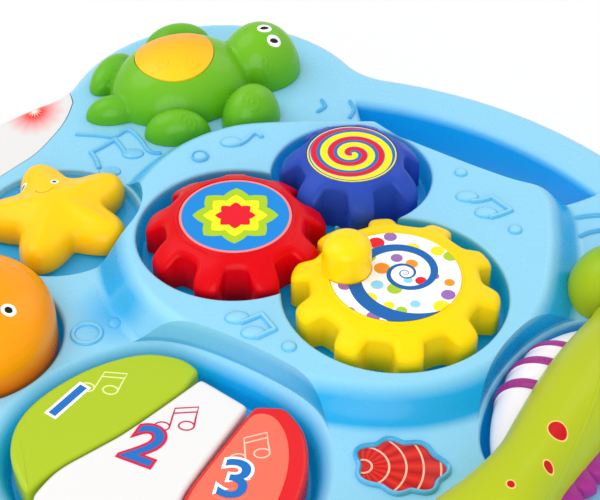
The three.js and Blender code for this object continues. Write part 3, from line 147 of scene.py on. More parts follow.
# Outline of the raised middle, as shares of the disc radius
PLATEAU_SHARES = [
    (0.439, 0.204), (0.429, 0.35), (0.388, 0.474), (0.337, 0.582), (0.27, 0.68), (0.14, 0.725),
    (-0.02, 0.735), (-0.17, 0.722), (-0.27, 0.665), (-0.385, 0.59), (-0.49, 0.5), (-0.545, 0.395),
    (-0.56, 0.28), (-0.535, 0.15), (-0.47, 0.025), (-0.375, -0.07), (-0.255, -0.128),
    (-0.1, -0.152), (0.06, -0.148), (0.2, -0.11), (0.325, -0.035), (0.41, 0.075),
]
PLATEAU_FOOT = 11
PLATEAU_SHOULDER = 7
YELLOW_PLACE = (27.1, 38.3)
RED_BEARING = math.radians(183.8)
BLUE_BEARING = math.radians(71.2)
RED_TOOTH_BEARING = math.radians(5)
PRESSURE_ANGLE = math.radians(20)
TOOTH_BACKLASH = 0.9
TOOTH_ROOT_GAP = 1.2
TOOTH_CORNER = 3.2
CROWN_POWER = 1.5
GEAR_RIM = 1.5
WELL_DEPTH = 14
WELL_MARGIN = 3.5
STICKER_THICKNESS = 0.4
# Count and height of the teeth, level and fall of the crown, and the radius of the print
GEAR_SPECS = {
    "yellow": {"teeth": 10, "addendum": 3.3, "rise": 7.9, "drop": 5, "sticker": 26.7},
    "red": {"teeth": 9, "addendum": 3.2, "rise": 8.9, "drop": 9, "sticker": 24},
    "blue": {"teeth": 7, "addendum": 4.3, "rise": 11.3, "drop": 10, "sticker": 19.8},
}
KNOB_PLACE = (7.717, 31.626)
HANDLE_INNER_Y = 133.5
HANDLE_BAR_RADIUS = 169
HANDLE_HALF_SPAN = math.radians(21.8)
# Inner edge of the handle slot, as shares of the way across to its tips and back to their level
HANDLE_BEND = [
    (0.83, 0.3), (0.6, 0.06), (0.3, 0), (0, 0), (-0.3, 0.02), (-0.55, 0.12), (-0.8, 0.42),
]
KEYS_PLACE = (-4.5, -40)
KEYS_SIZE = (118, 92)
KEYS_BACK = 0.06
KEY_HEIGHT = 12
KEY_GAP = 1
KEY_PIT_DEPTH = 13
# Sides of the three keys, as shares of their width and length
GREEN_OUTER = [
    (-0.125, 0), (-0.216, 0.012), (-0.343, -0.049), (-0.449, -0.217), (-0.5, -0.435),
    (-0.487, -0.62), (-0.415, -0.766), (-0.3, -0.87),
]
GREEN_INNER = [(-0.262, -0.885), (-0.25, -0.72), (-0.205, -0.54), (-0.165, -0.38), (-0.115, -0.1)]
WHITE_LEFT = [(-0.102, -0.03), (-0.165, -0.38), (-0.205, -0.54), (-0.25, -0.72), (-0.248, -0.88)]
WHITE_END = [(-0.19, -0.955), (-0.06, -0.99), (0.08, -1), (0.205, -0.985)]
WHITE_RIGHT = [(0.24, -0.93), (0.165, -0.609), (0.14, -0.457), (0.108, -0.05)]
RED_INNER = [(0.118, -0.04), (0.14, -0.457), (0.165, -0.609), (0.25, -0.95)]
RED_OUTER = [
    (0.31, -0.935), (0.41, -0.84), (0.479, -0.696), (0.5, -0.522), (0.467, -0.321),
    (0.411, -0.163), (0.321, -0.043), (0.21, 0.015),
]
STAR_PLACE = (-127.5, 9)
STAR_TIP = 34.5
STAR_VALLEY_SHARE = 0.62
STAR_THICKNESS = 17
STAR_FIRST_ARM = math.radians(3.6)
STAR_RECESS_DEPTH = 4
STAR_RECESS_GAP = 1.6
FISH_PLACE = (-111, -68)
FISH_RADIUS = 35.5
FISH_WELL_GAP = 2.2
FISH_WELL_DEPTH = 12
FISH_TRAVEL = 4
FISH_RISE = 27
TURTLE_PLACE = (-140, 118)
TURTLE_BEARING = math.radians(57)
TURTLE_HALF_SIZE = (29, 36, 27)
# How far ahead and aside of the body's middle each limb is, its half width, half length and
# height, as shares of the body's half length, and its turn in degrees.
TURTLE_LIMBS = {
    "head": (1.14, 0, 0.52, 0.58, 0.75, 0),
    "right_flipper": (0.61, -0.98, 0.35, 0.43, 0.52, 23),
    "right_foot": (-0.4, -0.9, 0.26, 0.44, 0.38, -20),
    "tail": (-1.02, -0.15, 0.23, 0.38, 0.3, -12),
    "left_foot": (-0.76, 0.66, 0.24, 0.46, 0.32, 38),
    "left_flipper": (0.29, 0.94, 0.28, 0.5, 0.42, -7),
}
SHELL_BUTTON_PLACE = (-141.57, 115.58)
SHELL_BUTTON_RADIUS = 19
SHELL_BUTTON_DEPTH = 9
SHELL_BUTTON_TRAVEL = 2
SEAT_GAP = 0.3
ROLLER_PLACE = (104, 32, 253.5)
ROLLER_RADIUS = 20
ROLLER_END_RADIUS = 5
ROLLER_HALF_LENGTH = 42
ROLLER_RIB = 1.4
ROLLER_RIB_HALF_WIDTH = 2.6
ROLLER_RIB_SHARES = (-0.31, 0, 0.31)
ROLLER_GAP = 1.5
BOWL_HALF_SIZE = (21.9, 47, 26)
BOWL_SHIFT = 1
# Across and along from the roller's middle, half width and height, as shares of its half length
SEAHORSE_SHARES = [
    (0.05, 1.12, 0.2, 0.34), (0.2, 0.8, 0.33, 0.52), (0.29, 0.36, 0.42, 0.68),
    (0.32, -0.16, 0.45, 0.74), (0.32, -0.7, 0.41, 0.73), (0.32, -1.22, 0.37, 0.7),
    (0.28, -1.74, 0.42, 0.68), (0.15, -2.2, 0.43, 0.64),
]
SEAHORSE_TAIL = {"place": (96.5, 96.5), "half_size": (17, 17.5, 24)}
SEAHORSE_CHEEK = {"place": (110.5, -13), "half_size": (10, 13, 17)}
SEAHORSE_HEAD = {"place": (106, -80), "half_size": (21, 25, 32), "bearing": 222}
SEAHORSE_SNOUT = {"reach": 32, "half_size": (8.5, 17, 18)}
PLATE_PLACE = (72, -33)
PLATE_RADIUS = 17
PLATE_BEARING = math.radians(33)
PLATE_LOBES = 7
LAMP_INNER_RADIUS = 171
LAMP_HALF_SPAN = math.radians(25.8)
# Inner edge of the lamp cover, as shares of its half span and of the way out to the rim
LAMP_EDGE = [
    (0, 0), (0.18, 0), (0.36, 0.003), (0.54, 0.044), (0.76, 0.254), (0.87, 0.44), (0.955, 0.66),
]
LAMP_DEPTH = 22
LAMP_GAP = 0.5
LEG_REACH = 172
# Bearing of each leg from the middle, in eighths of a turn
CORNERS = {"back_right": 1, "back_left": 3, "front_left": 5, "front_right": 7}

# Black of the eyes, and plain white
INK = 0x0A0A0C
WHITE = 0xFFFFFF


# Outlines, in millimetres
def around(place, radius, angle):
    """The place at a distance and a bearing from another."""
    return (place[0] + radius * math.cos(angle), place[1] + radius * math.sin(angle))


def arc(place, radius, start, end, steps):
    """Points of an arc, its last one left out."""
    turns = [start + (end - start) * i / steps for i in range(steps)]
    return [Vector(around(place, radius, turn)) for turn in turns]


def circle(place, radius, count=96):
    return arc(place, radius, 0, TURN, count)


def hermite(before, after, leaving, arriving, share):
    cube, square = share**3, share**2
    return (
        before * (2 * cube - 3 * square + 1)
        + leaving * (cube - 2 * square + share)
        + after * (3 * square - 2 * cube)
        + arriving * (cube - square)
    )


def smooth_loop(pairs, steps):
    """A closed curve through points, with a number of steps from each point to the next."""
    knots = [Vector(pair) for pair in pairs]
    points = []
    for i in range(len(knots)):
        a, b, c, d = (knots[(i + k - 1) % len(knots)] for k in range(4))
        ab, bc, cd = math.sqrt((b - a).length), math.sqrt((c - b).length), math.sqrt((d - c).length)
        leaving = ((b - a) / ab - (c - a) / (ab + bc) + (c - b) / bc) * bc
        arriving = ((c - b) / bc - (d - b) / (bc + cd) + (d - c) / cd) * bc
        points += [hermite(b, c, leaving, arriving, k / steps) for k in range(steps)]
    return points


def smooth_line(knots, steps):
    """An open curve through knots of any count of values, ends included."""
    knots = [Vector(knot) for knot in knots]
    last = len(knots) - 1
    points = []
    for i in range(last):
        a, b, c, d = knots[max(i - 1, 0)], knots[i], knots[i + 1], knots[min(i + 2, last)]
        points += [hermite(b, c, (c - a) / 2, (d - b) / 2, k / steps) for k in range(steps)]
    return points + [knots[last]]


def grown(points, distance):
    """Moves each point of a closed outline outwards along its normal."""
    moved = []
    for i, point in enumerate(points):
        along = (points[(i + 1) % len(points)] - points[i - 1]).normalized()
        moved.append(Vector((point.x + along.y * distance, point.y - along.x * distance)))
    return moved


def eased(points, spacing, rounds):
    """Evenly spaced points of a closed outline, its corners rounded by repeated averaging."""
    ends = points[1:] + points[:1]
    total = sum((b - a).length for a, b in zip(points, ends))
    count = round(total / spacing)
    even, walked, target = [], 0, 0
    for a, b in zip(points, ends):
        step = (b - a).length
        while target < walked + step - 1e-6 and len(even) < count:
            even.append(a.lerp(b, (target - walked) / step))
            target += total / count
        walked += step
    return softened(even, rounds)


def softened(points, rounds):
    """The same points of a closed outline, each drawn towards its neighbours."""
    for _ in range(rounds):
        points = [(points[i - 1] + p * 2 + points[(i + 1) % len(points)]) / 4 for i, p in enumerate(points)]
    return points


def box_of(node):
    """The lowest and the highest corner of a CAD node, in millimetres."""
    return [[value / MM for value in corner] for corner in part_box(node)]


def lift(points, z):
    return [Vector((p.x, p.y, z)) for p in points]


def quarter(radius, steps, rising=True):
    """Steps of a quarter round: how far out and how far up each one is."""
    turns = [QUARTER * i / steps for i in range(steps + 1)]
    if rising:
        return [(radius * (1 - math.cos(t)), radius * math.sin(t)) for t in turns]
    return [(radius * math.sin(t), radius * (1 - math.cos(t))) for t in turns]


def fillet_beside(rim_radius):
    """How a lobe's outline runs into the rim beside it, through a concave fillet."""
    lobe, lobe_reach = size("lobe_radius"), size("lobe_reach")
    reach, lobe_to_fillet = rim_radius + LOBE_FILLET, lobe + LOBE_FILLET
    at_center = math.acos((reach**2 + lobe_reach**2 - lobe_to_fillet**2) / (2 * reach * lobe_reach))
    at_lobe = math.acos((lobe_to_fillet**2 + lobe_reach**2 - reach**2) / (2 * lobe_to_fillet * lobe_reach))
    return rim_radius, reach, at_center, math.pi - at_lobe


def housing_ring(outwards):
    """The four-lobed outline of the housing."""
    plain, wide = fillet_beside(size("disc_radius")), fillet_beside(size("side_rim_radius"))
    sides = [plain, wide, plain, wide]
    fillet = LOBE_FILLET - outwards
    points = []
    for k in range(4):
        _, reach_in, at_in, half_in = sides[k - 1]
        rim, reach_out, at_out, half_out = sides[k]
        axis = math.pi / 4 + k * QUARTER
        before, after = axis - at_in, axis + at_out
        lobe_in, lobe_out = axis - half_in, axis + half_out
        lobe_place = around(CENTER, size("lobe_reach"), axis)
        fillet_in, fillet_out = around(CENTER, reach_in, before), around(CENTER, reach_out, after)
        points += arc(fillet_in, fillet, before + math.pi, lobe_in + math.pi, 10)
        points += arc(lobe_place, size("lobe_radius") + outwards, lobe_in, lobe_out, 44)
        points += arc(fillet_out, fillet, lobe_out - math.pi, after - math.pi, 10)
        points += arc(CENTER, rim + outwards, after, axis + QUARTER - at_out, 30)
    return points


def plateau_ring(outwards):
    disc = size("disc_radius")
    return grown(smooth_loop([(x * disc, y * disc) for x, y in PLATEAU_SHARES], 12), outwards)


def slot_ring(outwards):
    tip, tip_y = around(CENTER, HANDLE_BAR_RADIUS, QUARTER - HANDLE_HALF_SPAN)
    outer = arc(CENTER, HANDLE_BAR_RADIUS, QUARTER - HANDLE_HALF_SPAN, QUARTER + HANDLE_HALF_SPAN, 60)
    bend = [(x * tip, HANDLE_INNER_Y + y * (tip_y - HANDLE_INNER_Y)) for x, y in HANDLE_BEND]
    inner = smooth_line([(-tip, tip_y), *reversed(bend), (tip, tip_y)], 10)
    return grown(outer + inner[:-1], outwards)


def key_point(pair):
    """A point of the keys, with their back ends drawn out a little."""
    reach = pair[1] + KEYS_BACK * max(0, 1 + pair[1] / 0.5) ** 2
    return (KEYS_PLACE[0] + pair[0] * KEYS_SIZE[0], KEYS_PLACE[1] + reach * KEYS_SIZE[1])


def key_outline(*sides):
    loop = [p for side in sides for p in smooth_line([key_point(pair) for pair in side], 8)]
    return eased(loop, 1.1, 4)


def keys_ring(outwards):
    pairs = [*GREEN_OUTER[1:], *WHITE_END[1:3], *RED_OUTER]
    return grown(smooth_loop([key_point(pair) for pair in pairs], 12), outwards)


def star_outline(radius):
    points = []
    for i in range(200):
        turn = TURN * i / 200
        wave = ((1 + math.cos(5 * turn)) / 2) ** 0.8
        reach = radius * (STAR_VALLEY_SHARE + (1 - STAR_VALLEY_SHARE) * wave)
        points.append(Vector(around(STAR_PLACE, reach, turn + STAR_FIRST_ARM)))
    return points


def plate_ring(outwards):
    flatness = 0.86
    points = []
    for i in range(140):
        turn = TURN * i / 140
        fan = 0.86 + 0.07 * math.cos(PLATE_LOBES * turn)
        x, y = around(CENTER, PLATE_RADIUS * fan * (1 + 0.12 * math.cos(2 * turn)), turn + PLATE_BEARING)
        points.append(Vector((PLATE_PLACE[0] + x, PLATE_PLACE[1] + y * flatness)))
    return grown(points, outwards)


def lamp_ring(inwards):
    outer = size("side_rim_radius") + 2
    width = outer - LAMP_INNER_RADIUS
    half = [(angle * LAMP_HALF_SPAN, LAMP_INNER_RADIUS + out * width) for angle, out in LAMP_EDGE]
    edge = [(-angle, radius) for angle, radius in reversed(half[1:])] + half
    inner = [(-radius * math.cos(angle), radius * math.sin(angle)) for angle, radius in edge]
    far = arc(CENTER, outer + 2, math.pi - LAMP_HALF_SPAN, math.pi + LAMP_HALF_SPAN, 40)
    return grown(smooth_line(inner, 8) + far, -inwards)


# Toothed discs
def matching_tooth(driver, driven, bearing):
    """The bearing of a tooth of the driven disc that puts it in mesh with the driver."""
    past_valley = bearing - (driver["phase"] + TURN / driver["teeth"] / 2)
    return bearing + math.pi + past_valley * driver["teeth"] / driven["teeth"]


def place_gears():
    gears = {name: {"name": name, **spec} for name, spec in GEAR_SPECS.items()}
    for gear in gears.values():
        gear["pitch"] = size("gear_module") * gear["teeth"] / 2
        gear["tip"] = gear["pitch"] + gear["addendum"]
        gear["well"] = gear["tip"] + WELL_MARGIN
        gear["flat"] = gear["sticker"] + GEAR_RIM
    yellow, red, blue = gears["yellow"], gears["red"], gears["blue"]
    yellow["place"] = YELLOW_PLACE
    red["place"] = around(YELLOW_PLACE, yellow["pitch"] + red["pitch"], RED_BEARING)
    blue["place"] = around(red["place"], red["pitch"] + blue["pitch"], BLUE_BEARING)
    for gear, mates in ((yellow, [red]), (red, [yellow, blue]), (blue, [red])):
        deepest = max(mate["addendum"] for mate in mates)
        gear["root"] = gear["pitch"] - deepest - TOOTH_ROOT_GAP
    red["phase"] = RED_TOOTH_BEARING
    yellow["phase"] = matching_tooth(red, yellow, RED_BEARING + math.pi)
    blue["phase"] = matching_tooth(red, blue, BLUE_BEARING)
    return gears


def involute(angle):
    return math.tan(angle) - angle


def gear_outline(gear):
    """Involute teeth with round tips and soft valleys, as points round the disc's own middle."""
    base = gear["pitch"] * math.cos(PRESSURE_ANGLE)
    thickness = math.pi * size("gear_module") / 2 - TOOTH_BACKLASH
    half_at_pitch = thickness / (2 * gear["pitch"]) + involute(PRESSURE_ANGLE)
    flank_top = gear["tip"] - TOOTH_CORNER
    knots = []
    for share in (0.0, 0.22, 0.48, 0.74, 1.0):
        radius = gear["root"] + (flank_top - gear["root"]) * share
        valley = 0.028 * (1 - share) ** 3
        half_angle = half_at_pitch - involute(math.acos(min(1, base / max(radius, base))))
        knots.append((radius, half_angle + valley))
    flank_end = knots[-1][1]
    tip_half = flank_end - TOOTH_CORNER / gear["tip"]
    for turn in (30, 60, 90):
        bend = math.radians(turn)
        angle = flank_end + (tip_half - flank_end) * (1 - math.cos(bend))
        knots.append((flank_top + TOOTH_CORNER * math.sin(bend), angle))
    tip_middle = (gear["tip"] + 0.25, 0)
    valley_middle = (gear["root"] - 0.25, math.pi / gear["teeth"])
    tooth = [(r, -a) for r, a in knots] + [tip_middle] + [(r, a) for r, a in reversed(knots)]
    tooth.append(valley_middle)
    loop = []
    for i in range(gear["teeth"]):
        axis = gear["phase"] + TURN * i / gear["teeth"]
        loop += [around(CENTER, radius, axis + angle) for radius, angle in tooth]
    return softened(smooth_loop(loop, 3), 9)


# Meshes
def only(obj):
    bpy.ops.object.select_all(action="DESELECT")
    obj.select_set(True)
    bpy.context.view_layer.objects.active = obj


def made(name, operation, **settings):
    """The named object that an operator adds."""
    bpy.ops.object.select_all(action="DESELECT")
    operation(**settings)
    obj = bpy.context.object
    obj.name = obj.data.name = name
    return obj


def apply_place():
    bpy.ops.object.transform_apply(location=True, rotation=True, scale=True)


def edit(obj, *steps):
    """Runs edit mode steps on all of one piece."""
    only(obj)
    bpy.ops.object.mode_set(mode="EDIT")
    bpy.ops.mesh.select_all(action="SELECT")
    for step, settings in steps:
        step(**settings)
    bpy.ops.object.mode_set(mode="OBJECT")
    return obj


def wrap(name, rings):
    """A grid wrapped round rings of equal counts, from one end of the piece to the other."""
    obj = made(
        name, bpy.ops.mesh.primitive_grid_add, x_subdivisions=len(rings[0]), y_subdivisions=len(rings) - 1
    )
    places = [c * MM for ring in rings for point in [*ring, ring[0]] for c in point]
    obj.data.vertices.foreach_set("co", places)
    obj.data.update()
    return edit(
        obj,
        (bpy.ops.mesh.remove_doubles, {"threshold": 1e-6}),
        (bpy.ops.mesh.fill_holes, {"sides": 0}),
        (bpy.ops.mesh.normals_make_consistent, {"inside": False}),
    )


def loft(name, outline, profile):
    """Wraps an outline at the offsets and levels of a profile. The outline takes an offset."""
    return wrap(name, [lift(outline(offset), z) for offset, z in profile])


def turned(name, place, profile, count=96):
    """A round piece from a profile of radii and heights."""
    return wrap(name, [lift(circle(place, max(radius, 1e-4), count), z) for radius, z in profile])


def modify(obj, kind, **settings):
    """Adds a modifier and applies it."""
    modifier = obj.modifiers.new(kind.title(), kind)
    for key, value in settings.items():
        setattr(modifier, key, value)
    only(obj)
    bpy.ops.object.modifier_apply(modifier=modifier.name)


def combine(obj, other, operation="DIFFERENCE"):
    modify(obj, "BOOLEAN", operation=operation, object=other, solver="EXACT")
    bpy.data.objects.remove(other, do_unlink=True)


def join(obj, others):
    only(obj)
    for other in others:
        other.select_set(True)
    bpy.ops.object.join()
    return obj


def smoothed(obj, angle=40, weighted=False):
    only(obj)
    bpy.ops.object.shade_smooth_by_angle(angle=math.radians(angle))
    if weighted:
        modify(obj, "WEIGHTED_NORMAL", keep_sharp=True, weight=100)
    return obj


def trim_below(obj, level):
    cut = {"plane_co": (0, 0, level * MM), "plane_no": (0, 0, 1), "clear_inner": True, "use_fill": True}
    edit(obj, (bpy.ops.mesh.bisect, cut))


def blended(obj, voxel, rounds):
    """One soft moulded skin over lumps that run into each other."""
    obj.data.remesh_voxel_size = voxel * MM
    only(obj)
    bpy.ops.object.voxel_remesh()
    modify(obj, "SMOOTH", factor=0.5, iterations=rounds)


def egg(name, place, half_size, level, heading=0, detail=(48, 24)):
    """An ellipsoid round a level, its length turned to a heading in degrees."""
    sphere = bpy.ops.mesh.primitive_uv_sphere_add
    obj = made(name, sphere, segments=detail[0], ring_count=detail[1], radius=1)
    obj.scale = [half * MM for half in half_size]
    obj.rotation_euler = (0, 0, math.radians(heading))
    obj.location = (place[0] * MM, place[1] * MM, level * MM)
    apply_place()
    return obj


def bead(name, path, level, half_width, height):
    """A low moulded ridge along a path, with round ends."""
    path = [Vector(p) for p in path]
    last = len(path) - 1
    ends = {0: [k / 3 - 1 for k in range(4)], last: [k / 3 for k in range(4)]}
    rings = []
    for i, point in enumerate(path):
        along = (path[min(i + 1, last)] - path[max(i - 1, 0)]).normalized()
        for out in ends.get(i, [0]):
            share = math.sqrt(max(0.0004, 1 - out**2))
            at = point + along * half_width * out
            ring = []
            for side in range(12):
                turn = TURN * side / 12
                aside = half_width * share * math.cos(turn)
                place = (at.x - along.y * aside, at.y + along.x * aside)
                ring.append(Vector((*place, level + height * share * math.sin(turn))))
            rings.append(ring)
    return wrap(name, rings)


def draped(name, path, target, half_width):
    """A thin ridge laid along a path over a rounded piece."""
    ridge = bead(name, path, 0, half_width, half_width * 0.8)
    only(target)
    for vertex in ridge.data.vertices:
        start = Vector((vertex.co.x, vertex.co.y, 1))
        hit, spot, _, _ = target.ray_cast(start, Vector((0, 0, -1)))
        if hit:
            vertex.co.z += spot.z - half_width * 0.2 * MM
    return smoothed(ridge, 60)


def swirl(place, radius, target, turns=1.6, half_width=0.6):
    """A moulded spiral that lies on a rounded piece."""
    shares = [i / 35 for i in range(36)]
    path = [around(place, radius * (0.12 + 0.88 * share), TURN * turns * share) for share in shares]
    return draped("swirl", path, target, half_width)


def finish_piece(obj, body, material, *nodes, slot):
    """Puts a finished piece on its body, in place of its CAD nodes."""
    obj.data.materials.clear()
    obj.data.materials.append(material)
    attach(obj, body)
    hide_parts(*nodes)


# Materials
class Value:
    """A socket of a material, so that sums and products of it add Math nodes."""

    def __init__(self, nodes, socket):
        self.nodes = nodes
        self.socket = socket

    def math(self, operation, *others):
        return self.nodes.math(operation, self, *others)

    def clamped(self):
        """The value, held between 0 and 1."""
        return self.math("MAXIMUM", 0).math("MINIMUM", 1)

    def zigzag(self):
        """1 at each whole number, 0 halfway to the next, and straight in between."""
        return abs(self.math("FRACT") - 0.5) * 2

    def __add__(self, other):
        return self.math("ADD", other)

    __radd__ = __add__

    def __mul__(self, other):
        return self.math("MULTIPLY", other)

    __rmul__ = __mul__

    def __sub__(self, other):
        return self.math("SUBTRACT", other)

    def __rsub__(self, other):
        return self.nodes.math("SUBTRACT", other, self)

    def __truediv__(self, other):
        return self.math("DIVIDE", other)

    def __rtruediv__(self, other):
        return self.nodes.math("DIVIDE", other, self)

    def __pow__(self, other):
        return self.math("POWER", other)

    def __lt__(self, other):
        return self.math("LESS_THAN", other)

    def __gt__(self, other):
        return self.math("GREATER_THAN", other)

    def __abs__(self):
        return self.math("ABSOLUTE")


def hypot(x, y):
    """How far a place is from the middle, from how far it is across and along."""
    return (x * x + y * y).math("SQRT")


class Nodes:
    """The nodes of a material or of the world."""

    def __init__(self, tree):
        self.tree = tree

    def feed(self, socket, value):
        if isinstance(value, Value):
            value = value.socket
        if isinstance(value, bpy.types.NodeSocket):
            self.tree.links.new(value, socket)
        elif socket.type == "RGBA" and len(value) == 3:
            socket.default_value = (*value, 1)
        else:
            socket.default_value = value

    def add(self, kind, settings=None, *values, **inputs):
        """One node: its settings are set first, and then its inputs, in order or by name."""
        node = self.tree.nodes.new(kind)
        for key, value in (settings or {}).items():
            setattr(node, key, value)
        for socket, value in zip(node.inputs, values):
            self.feed(socket, value)
        for key, value in inputs.items():
            self.feed(node.inputs[key.replace("_", " ")], value)
        return node

    def value(self, socket):
        return Value(self, socket)

    def math(self, operation, *values):
        return self.value(self.add("ShaderNodeMath", {"operation": operation}, *values).outputs[0])

    def mixed(self, factor, first, second):
        node = self.add("ShaderNodeMix", {"data_type": "RGBA"})
        for index, value in ((0, factor), (6, first), (7, second)):
            self.feed(node.inputs[index], value)
        return node.outputs[2]

    def stepped(self, factor, stops):
        """The colour of the last stop that a factor has passed."""
        node = self.add("ShaderNodeValToRGB", None, factor)
        ramp = node.color_ramp
        ramp.interpolation = "CONSTANT"
        ramp.elements.remove(ramp.elements[-1])
        for i, (place, shade) in enumerate(stops):
            element = ramp.elements.new(place) if i else ramp.elements[0]
            element.position = place
            element.color = (*shade, 1)
        return node.outputs[0]

    def seen_by_camera(self):
        """1 for what the camera sees itself, in a reflection or through a clear piece."""
        rays = self.add("ShaderNodeLightPath").outputs
        kinds = ("Is Camera Ray", "Is Glossy Ray", "Is Transmission Ray")
        seen, mirrored, through = (self.value(rays[kind]) for kind in kinds)
        return (seen + mirrored + through).math("MINIMUM", 1)


class Finish(Nodes):
    """The nodes of one material."""

    def __init__(self, name):
        self.material = bpy.data.materials.new(name)
        self.material.use_nodes = True
        super().__init__(self.material.node_tree)
        self.shader = self.tree.nodes["Principled BSDF"]
        self.object_place = self.add("ShaderNodeTexCoord").outputs["Object"]

    def set(self, **inputs):
        """Feeds the shader's inputs by name."""
        for key, value in inputs.items():
            self.feed(self.shader.inputs[key.replace("_", " ")], value)

    def axes(self, place=(0, 0, 0)):
        """The three Object coordinates in millimetres, counted from a place."""
        parts = self.add("ShaderNodeSeparateXYZ", Vector=self.object_place)
        return [(self.value(parts.outputs[i]) / MM) - place[i] for i in range(3)]

    def polar(self, x, y):
        """Distance from the middle and bearing in turns from 0 to 1."""
        return hypot(x, y), (y.math("ARCTAN2", x) / TURN).math("FRACT")

    def noise(self, scale, detail=2):
        node = self.add("ShaderNodeTexNoise", Vector=self.object_place, Scale=scale, Detail=detail)
        return self.value(node.outputs["Fac"])

    def printed(self, base, *layers):
        """Lays printed colours over a base, each where its mask is 1."""
        for mask, code in layers:
            base = self.mixed(mask, base, srgb(code))
        return base

    def glowing(self, mask, shade, strength):
        self.set(Emission_Color=self.mixed(mask, (0, 0, 0), shade), Emission_Strength=strength)

    def plastic(self, base, rough=0.28, coat=0.08, variation=0.05, grain=0.04, specular=0.14):
        """Moulded plastic: faint mottling, uneven gloss and a fine orange peel."""
        if isinstance(base, bpy.types.NodeSocket):
            darker = self.add("ShaderNodeHueSaturation", Value=0.8, Color=base).outputs[0]
        else:
            darker = tuple(channel * 0.8 for channel in base)
        broad, fine, swell = self.noise(14, 3), self.noise(900), self.noise(60)
        peel = self.add("ShaderNodeBump", Strength=grain, Distance=0.4 * MM, Height=fine * 0.35 + swell)
        self.set(
            Base_Color=self.mixed(broad * variation * 2, base, darker),
            Roughness=(swell - 0.5) * 0.12 + (fine - 0.5) * 0.06 + rough,
            Coat_Weight=coat,
            Coat_Roughness=0.08,
            Specular_IOR_Level=specular,
            Normal=peel.outputs["Normal"],
        )
        return self.material


def plain_plastic(name, base, **settings):
    return Finish(name).plastic(base, **settings)


def sticker_print(finish, shade):
    return finish.plastic(shade, rough=0.3, variation=0.02, grain=0.01)


def shell_finish():
    """Sky blue plastic, with painted shade that deepens it down its recesses, on the flank of its raised
    middle, on tilted relief and in the cove by the fish, and a faint painted glow on the recess floors.
    """
    finish = Finish("shell_plastic")
    x, y, z = finish.axes()
    top, high = size("table_height"), plateau_level()
    # Painted shade: inside the plain rim, the recesses deepen in colour down to their floors
    rim = 11
    lobe = size("lobe_reach") * math.sqrt(0.5)
    in_lobe = hypot(abs(x) - lobe, abs(y) - lobe) < size("lobe_radius") - rim
    in_disc = hypot(x, y) < size("disc_radius") - rim
    recess_shade = ((top - 0.1 - z) / 4.5).clamped() * in_lobe.math("MAXIMUM", in_disc)
    for gear in place_gears().values():
        in_well = hypot(x - gear["place"][0], y - gear["place"][1]) < gear["well"] + 0.6
        recess_shade = recess_shade.math("MAXIMUM", in_well * ((high - 0.5 - z) / 4).clamped())
    # Painted shade: relief takes the slope's colour where it tilts
    facing = finish.add("ShaderNodeTexCoord").outputs["Normal"]
    upright = finish.value(finish.add("ShaderNodeSeparateXYZ", Vector=facing).outputs[2])
    low_relief = (z > top + 0.05) * (z < top + size("relief") * 1.3)
    raised = (z > high + 0.05).math("MAXIMUM", low_relief)
    crest_shade = raised * ((0.985 - upright) * 5).clamped() * 0.55
    # Painted shade: so does the flank, more so near the discs and less so beside the keys
    foot = ((z - top - 0.05) / 1.8).clamped()
    brow = ((high - 0.05 - z) / (size("plateau_rise") * 0.35)).clamped()
    near = ((x + 12) / 112) ** 4 + ((y - 57) / 101) ** 4 < 1
    from_keys = ((((x + 25) / 50) ** 4 + ((y + 84) / 66) ** 4 - 0.8) / 1.4).clamped()
    flank = foot * brow * (near * 0.6 + 0.4) * (from_keys * 0.7 + 0.3)
    # Painted shade: the cove on the fish's side takes it too
    cove = (1.25 - hypot(x + 68, y + 22) / 18).clamped()
    flank = flank.math("MAXIMUM", cove * brow * 0.9)
    base = finish.mixed(flank.math("MAXIMUM", crest_shade), tint("shell"), tint("shell_slope_shade"))
    base = finish.mixed(recess_shade, base, tint("shell_recess_shade"))
    # Painted light: the shaded recess floors glow faintly in their deep blue
    finish.glowing(recess_shade, tint("shell_recess_shade"), 0.16)
    return finish.plastic(base, coat=0.15, specular=0.25)


def steel_finish():
    finish = Finish("zinc_steel")
    streaks = finish.noise(700, 3)
    shade = finish.mixed(streaks, srgb(0x9A9DA1), srgb(0xD0D2D4))
    finish.set(Base_Color=shade, Metallic=1, Roughness=streaks * 0.2 + 0.22)
    return finish.material


